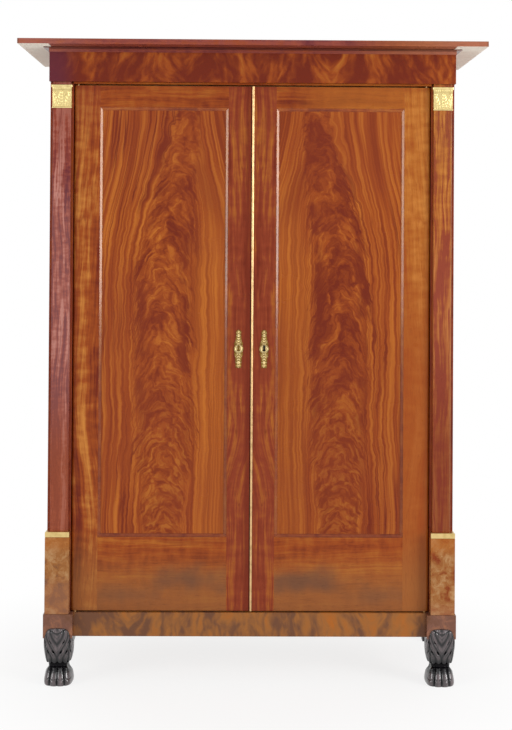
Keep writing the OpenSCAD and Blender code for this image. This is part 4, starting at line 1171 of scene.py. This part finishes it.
class PRESS_OT_screws(bpy.types.Operator):
    """Sets the screws of the lock, the bolts, the pivots and the escutcheons"""

    bl_idname = "press.screws"
    bl_label = "Screws"

    def execute(self, context):
        c, sizes = context.scene.press_colours, context.scene.press_sizes
        face = FACE_Y / MM
        brass = metal("Brass screw heads", c.brass, c.brass_dull, 0.32, 700)
        iron = metal("Filed iron screws", c.iron, c.iron_dark, 0.42, 700)
        metals = {
            "polished_brass": (brass, screw_tree(brass)), "lock_iron": (iron, screw_tree(iron))
        }
        back, front = (0, 1, 0), (0, -1, 0)
        pins = {
            sign: [((sign * ESC_X, face - 3.2, z), front) for z in (ESC_Z + 41.5, ESC_Z - 42.5)]
            for sign in (-1, 1)
        }
        for name, body, slot, small, places in (
            ("lock_screws", "right_door", "lock_iron", 1.0, [
                ((x, face + LOCK_BACK, z), back) for x in (8, 70) for z in (1075, 1165)
            ]),
            ("keeper_screws", "left_door", "lock_iron", 0.7, [
                ((-15, face + LOCK_BACK, z), back) for z in (1132, 1164)
            ]),
            ("guide_screws", "left_door", "polished_brass", 0.55, [
                ((GUIDE_X + dx, face + GUIDE_BACK, foot + rise), back)
                for foot in GUIDE_FEET
                for rise in (14, 60, 106)
                for dx in (-GUIDE_SCREW_X, GUIDE_SCREW_X)
            ]),
            ("left_escutcheon_pins", "left_door", "polished_brass", 0.42, pins[-1]),
            ("right_escutcheon_pins", "right_door", "polished_brass", 0.42, pins[1]),
            ("pivot_screws", "carcass", "polished_brass", 0.8, [
                ((sign * x, face + PIVOT_BACK, z), (0, 0, way))
                for sign in (-1, 1)
                for x in (558, 572)
                for z, way in PIVOT_LEVELS
            ]),
        ):
            material, tree = metals[slot]
            put_on(screws(name, places, tree, sizes, small), body, slot, material)
        return {"FINISHED"}


# CASEWORK


def ease_arrises(name, width):
    """Takes the sharp arrises off a board."""
    node = NODES[name]
    weld = node.modifiers.new("Weld", "WELD")
    weld.merge_threshold = 1e-5
    bevel = node.modifiers.new("Arrises", "BEVEL")
    bevel.width, bevel.segments = width, 2
    bevel.limit_method, bevel.angle_limit = "ANGLE", math.radians(40)


class PRESS_OT_casework(bpy.types.Operator):
    """Veneers and polishes the carcass and the doors"""

    bl_idname = "press.casework"
    bl_label = "Casework"

    def execute(self, context):
        c, sizes = context.scene.press_colours, context.scene.press_sizes
        for given in (self.boards, self.veneers, self.inside, self.metals):
            for material, names in given(c):
                for name in names.split():
                    holder = NODES[name].material_slots[0]
                    holder.link = "OBJECT"
                    holder.material = material
        for side in ("left", "right"):
            for board in "hinge_stile meeting_stile top_rail bottom_rail".split():
                ease_arrises(f"{side}_{board}", sizes.door_arris)
            for board in "pedestal base_block front_stile pilaster side_frame".split():
                ease_arrises(f"{side}_{board}", sizes.arris)
        for name in (
            "frieze_front plinth_front_rail plinth_side_rails plinth_back_rail rear_feet shelf_1"
            " shelf_2 shelf_3 shelf_4 shelf_bearers lock_case lock_keeper back_frame"
            " frieze_returns"
        ).split():
            ease_arrises(name, sizes.arris)
        return {"FINISHED"}

    def boards(self, c):
        """Straight-grained mahogany, each pair of boards from its own plank."""
        brown, ruddy = (c.dark, c.middle, c.light), (c.dark, c.red, c.middle)
        reddish = (c.dark, c.red, c.light)
        ledge = {"tones": (c.purple, c.ruddy, c.middle), "spread": 0.16}
        # Painted light along the cornice and its moulding: the right part is painted lighter as if
        # lit from the right, with a painted pinkish reflection towards both ends.
        ledge_painted_light = (
            ("X", 0.25, 0.6, c.light, 0.6), ("X", 0.4, 0.75, c.rose_reflection, 0.35),
            ("X", -0.45, -0.75, c.rose_reflection, 0.3),
        )
        grey_foot = ("Z", 0.55, 0.3, c.faded, 0.6)
        shaft = {"mottling": 0.12, "spread": 0.075, "lines": 0.7, "figure": 34, "fine": 150}
        door = {"mirrored": True, "slant": 0.05, "sweep": (0.95, 0.5, 0.06)}
        meeting = {
            "mottling": 0.15, "spread": 0.14, "figure": 46, "mirrored": True,
            "sweep": (0.9, 0.55, -0.07),
        }
        yield straight_mahogany(
            "Cornice, mahogany edge", "X", 7.7, **ledge,
            fades=(
                *ledge_painted_light, ("X", -0.766, -0.771, c.umber, 0.6),
                ("X", 0.766, 0.771, c.umber, 0.4),
            ),
            bare=(2.122, 2.14, 0.672), softwood=(c.softwood_dark, c.softwood, c.bare),
        ), "cornice_board"
        # The moulding's beak is painted nearly black, a painted shadow under the cornice board, and
        # its right part gets a further painted pinkish reflection.
        yield straight_mahogany(
            "Cornice moulding, beak in painted shadow", "X", 7.7, **ledge,
            fades=(
                *ledge_painted_light, ("X", 0.1, 0.6, c.rose_reflection, 0.2), ("Z", 2.1155, 2.1175, c.ebony, 0.5)
            ),
        ), "bed_moulding"
        yield straight_mahogany(
            "Door rail mahogany", "X", 2.6, brown, 0.2, 0.14, 0.3,
            fades=(("X", 0.1, 0.3, c.light, 0.55),),
        ), "left_top_rail right_top_rail head_rail"
        yield straight_mahogany(
            "Wavy door rail mahogany", "X", 12.3, brown, 0.25, 0.14, 0.35, figure=18,
            fades=(("Z", 0.46, 0.3, c.faded, 0.6), ("Z", 0.36, 0.26, c.umber, 0.15)),
            stains=((0.18, 0.34, 0.2, 0.06, c.umber, 0.9), (0.42, 0.29, 0.14, 0.04, c.umber, 0.5)),
        ), "left_bottom_rail right_bottom_rail"
        yield straight_mahogany(
            "Hinge stile mahogany", "Z", 1.3, (c.dark, c.middle, c.sunned), 0.2, 0.12, 0.35,
            fades=(grey_foot, ("Z", 1.75, 1.95, c.red, 0.4)), **door,
        ), "left_hinge_stile"
        # Painted light: the right hinge stile has lighter tones and stays lightest at the top,
        # painted as light falling from the right and above.
        yield straight_mahogany(
            "Hinge stile mahogany, painted light at the top", "Z", 1.3, (c.middle, c.light, c.sunned), 0.3, 0.13,
            0.35, fades=(("Z", 1.55, 1.0, c.middle, 0.75), grey_foot), **door,
        ), "right_hinge_stile"
        # Painted shadow: the left meeting stile is painted dark along its edge beside the meeting
        # strip.
        yield straight_mahogany(
            "Meeting stile mahogany, left, painted shadow by the strip", "Z", 4.2, reddish,
            fades=(("X", -0.028, -0.014, c.dark, 0.75),), **meeting,
        ), "left_meeting_stile"
        yield straight_mahogany(
            "Meeting stile mahogany, right", "Z", 4.2, reddish, **meeting
        ), "right_meeting_stile"
        yield straight_mahogany(
            "Front stile mahogany", "Z", 8.8, ruddy
        ), "left_front_stile right_front_stile"
        # Painted reflection: the left shaft's purplish and pink tones stand in for a cool light
        # reflected from the left, with a painted pinkish sheen below its top.
        yield straight_mahogany(
            "Purplish streaked mahogany, painted reflection", "Z", 9.4, (c.purple, c.ruddy, c.rose_reflection),
            fades=(
                ("Z", 1.75, 1.5, c.rose_reflection, 0.25), ("Z", 1.6, 1.9, c.red, 0.55),
                ("Z", 1.05, 0.7, c.dark, 0.3), ("Z", 1.05, 0.7, c.middle, 0.5),
            ),
            **shaft | {"mottling": 0.14, "mottle": 90, "spread": 0.062},
        ), "left_pilaster"
        yield straight_mahogany(
            "Orange streaked mahogany", "Z", 6.2, (c.red, c.light, c.sunned),
            fades=(
                ("Z", 1.5, 1.85, c.tan, 0.1), ("Z", 1.75, 1.3, c.ruddy, 0.4),
                # The tan along the shaft's outer right edge is a painted highlight, where light
                # from the right catches its arris.
                ("Z", 1.3, 0.7, c.dark, 0.6), ("X", 0.662, 0.669, c.tan, 0.25),
            ),
            **shaft | {"spread": 0.055, "lines": 1},
        ), "right_pilaster"
        yield straight_mahogany(
            "Side frame mahogany", "Z", 5.5, brown, rails=((198, 1082, 1966), "Y", (74.5, 151))
        ), "left_side_frame right_side_frame"
        yield straight_mahogany("Side rail mahogany", "Y", 5.1, brown), "plinth_side_rails"

    def veneers(self, c):
        """Flame, crotch and burr veneers."""
        yield crotch_veneer_doors(
            "Bookmatched flame mahogany veneer", c
        ), "left_door_panel right_door_panel"
        # The frieze's left end is painted purple, a painted cool reflection.
        yield crotch_veneer_boards(
            "Crotch mahogany, frieze", c, 2.2, (0.018, 0.244, 2.065),
            (c.dark, c.plume, c.middle, c.light), (0.43, 0.51, 0.58, 0.7), patch=14,
            curling=0.35, slopes=(0.9, -0.35), purple=(-0.57, -0.655),
        ), "frieze_front frieze_returns"
        yield crotch_veneer_boards(
            "Crotch mahogany, plinth", c, 5.7, (0, 0.405, 0.196),
            (c.umber, c.umber, c.faded, c.light), (0.3, 0.42, 0.56, 0.72),
        ), "plinth_front_rail"
        yield burr_veneer(
            "Burr mahogany, base blocks", 3.4, (c.umber, c.smoky, c.dusty), 13
        ), "left_base_block right_base_block"
        yield burr_veneer(
            "Burr mahogany, left pedestal", 8.3, (c.umber, c.faded, c.tan), 26,
            (("Z", 0.43, 0.47, c.light, 0.5), ("Z", 0.38, 0.31, c.dusty, 0.45)),
        ), "left_pedestal"
        yield burr_veneer(
            "Burr mahogany, right pedestal", 6.1, (c.plume, c.faded, c.tan), 26,
            (("Z", 0.42, 0.47, c.light, 0.6), ("Z", 0.29, 0.24, c.dusty, 0.4)),
        ), "right_pedestal"
        yield straight_mahogany(
            "Sliced mahogany, side panels", "Z", 10.9, (c.dark, c.plume, c.middle), 0.15, 0.12,
            0.5, figure=16,
        ), "left_side_panels right_side_panels"

    def inside(self, c):
        """Softwood of the inside and the back, and the plain rear feet."""
        level = "top_board bottom_board shelf_1 shelf_2 shelf_3 shelf_4 plinth_back_rail"
        back = ((198, 1139, 2080), "X", (0, 575))
        yield plain_softwood("Planed softwood, level", "X", 1.1, c), level
        yield plain_softwood("Planed softwood, back frame", "Z", 2.1, c, rails=back), "back_frame"
        yield plain_softwood("Planed softwood, back panels", "Z", 6.4, c), "back_panels"
        yield plain_softwood("Planed softwood, front to back", "Y", 3.1, c), "shelf_bearers"
        yield ebonised_wood("Ebonised and polished feet", c), "rear_feet"

    def metals(self, c):
        """Gilding, brass and iron of the fittings."""
        yield metal(
            "Worn gilding on flat brass", c.collar, c.gilding_deep, 0.32, 900
        ), "pedestal_collars"
        yield metal("Polished and worn brass", c.brass, c.brass_dull, 0.32, 800), (
            "meeting_strip carcass_pivots left_pivot_plates right_pivot_plates bolt_keepers"
            " bolt_guides top_bolt bottom_bolt"
        )
        yield metal(
            "Filed lock iron", c.iron, c.iron_dark, 0.45, 500
        ), "lock_case lock_bolt lock_keeper"


# STAGE

# Where the edges of the press in the photograph put the camera, and its turns in radians
CAMERA = (-0.03763, -4.72848, 1.49697)
YAW, PITCH, ROLL = 0.01118, -0.01152, 0.00597
# Tall lamps to the sides, whose reflections end halfway down the panel mouldings
KEY_PLACE, FILL_PLACE, LAMP_AIM = (4.1, -2.95, 1.95), (-4.2, -2.95, 1.95), (0, -0.2, 1.3)
LAMP_SIZE = 2.0
# Half the width of the floor, and the distances over which it fades into the white
FLOOR_REACH, FADE_FROM, FADE_TO = 25, 0.45, 1.4
WHITE = (1, 1, 1, 1)


def lamp(name, place, power):
    """Large soft lamp that faces the press."""
    data = bpy.data.lights.new(name, "AREA")
    data.shape, data.energy = "RECTANGLE", power
    data.size = data.size_y = LAMP_SIZE
    made = new_object(name, data)
    made.location = place
    made.rotation_euler = (Vector(LAMP_AIM) - Vector(place)).to_track_quat("-Z", "Y").to_euler()


def seen_rays(add):
    """1 for the rays that show the surround itself: from the camera, glossy or let through."""
    rays = add("rays").outputs
    seen = add("most", rays["Is Camera Ray"], rays["Is Glossy Ray"])
    return add("most", seen, rays["Is Transmission Ray"])


class PRESS_OT_stage(bpy.types.Operator):
    """Sets the camera, the lamps, the surround and the floor"""

    bl_idname = "press.stage"
    bl_label = "Stage"

    def execute(self, context):
        scene, given = context.scene, context.scene.press_stage
        ahead = Vector((math.sin(YAW), math.cos(YAW), 0))
        right = Vector((math.cos(YAW), -math.sin(YAW), 0))
        up = Vector((0, 0, 1))
        look = math.cos(PITCH) * ahead - math.sin(PITCH) * up
        above = math.cos(PITCH) * up + math.sin(PITCH) * ahead
        side = math.cos(ROLL) * right + math.sin(ROLL) * above
        above = math.cos(ROLL) * above - math.sin(ROLL) * right
        camera = bpy.data.cameras.new("Camera")
        camera.lens, camera.sensor_width = given.lens, 36
        camera.shift_y = given.shift
        camera.clip_start, camera.clip_end = 0.05, 60
        scene.camera = new_object("Camera", camera)
        turn = Matrix((side, above, -look)).transposed().to_4x4()
        scene.camera.matrix_world = Matrix.Translation(CAMERA) @ turn
        lamp("Main lamp", KEY_PLACE, given.key)
        lamp("Fill lamp", FILL_PLACE, given.fill)
        self.surround(scene, given)
        self.floor(given)
        scene.view_settings.view_transform = "Standard"
        return {"FINISHED"}

    def surround(self, scene, given):
        """Even light from all round, under a white that the camera sees."""
        scene.world = bpy.data.worlds.new("Surround")
        scene.world.use_nodes = True
        tree = scene.world.node_tree
        tree.nodes.clear()
        add = partial(add_node, tree)
        level = add("range", seen_rays(add), 0, 1, given.surround, 1.0)
        add("world output", add("ShaderNodeBackground", Color=WHITE, Strength=level))

    def floor(self, given):
        """A pale floor that fades into the surround."""
        mesh = bpy.data.meshes.new("floor")
        ways = ((-1, -1), (1, -1), (1, 1), (-1, 1))
        corners = [(x * FLOOR_REACH, y * FLOOR_REACH, 0) for x, y in ways]
        mesh.from_pydata(corners, [], [(0, 1, 2, 3)])
        made = new_object("floor", mesh)
        material, add = new_material("Pale studio floor")
        fade = add("smooth", add("length", add("place")), FADE_FROM, FADE_TO, 0.8)
        share = add("times", fade, seen_rays(add))
        dull = {"Roughness": 0.9, "Specular IOR Level": 0.1}
        paint = add("ShaderNodeBsdfPrincipled", given.floor, **dull)
        white = add("ShaderNodeEmission", Color=WHITE, Strength=1.0)
        add("material output", add("ShaderNodeMixShader", share, paint, white))
        mesh.materials.append(material)
        made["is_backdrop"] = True


OPERATORS = (
    PRESS_OT_stage,
    PRESS_OT_casework,
    PRESS_OT_panel_beads,
    PRESS_OT_paw_feet,
    PRESS_OT_gilt_mounts,
    PRESS_OT_screws,
)
GROUPS = {
    "press_colours": PressColours,
    "press_sizes": PressSizes,
    "press_stage": PressStage,
}


class PRESS_PT_panel(bpy.types.Panel):
    """Colours, sizes and steps of the clothes press"""

    bl_idname = "PRESS_PT_panel"
    bl_label = "Clothes press"
    bl_space_type = "VIEW_3D"
    bl_region_type = "UI"
    bl_category = "Press"

    def draw(self, context):
        for operator in OPERATORS:
            self.layout.operator(operator.bl_idname)
        for name, group in GROUPS.items():
            box = self.layout.box()
            for prop in group.__annotations__:
                box.prop(getattr(context.scene, name), prop)


def register():
    for group in GROUPS.values():
        bpy.utils.register_class(group)
    for operator in OPERATORS:
        bpy.utils.register_class(operator)
    bpy.utils.register_class(PRESS_PT_panel)
    for name, group in GROUPS.items():
        setattr(bpy.types.Scene, name, bpy.props.PointerProperty(type=group))


def unregister():
    for name in GROUPS:
        delattr(bpy.types.Scene, name)
    bpy.utils.unregister_class(PRESS_PT_panel)
    for operator in reversed(OPERATORS):
        bpy.utils.unregister_class(operator)
    for group in reversed(list(GROUPS.values())):
        bpy.utils.unregister_class(group)


def main():
    register()
    for step in OPERATORS:
        group, name = step.bl_idname.split(".")
        getattr(getattr(bpy.ops, group), name)()
    boxes = {"cad": CAD_BOX, "visual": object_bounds()}
    sizes = {name: [list(corner) for corner in box] for name, box in boxes.items()}


if __name__ == "__main__":
    main()
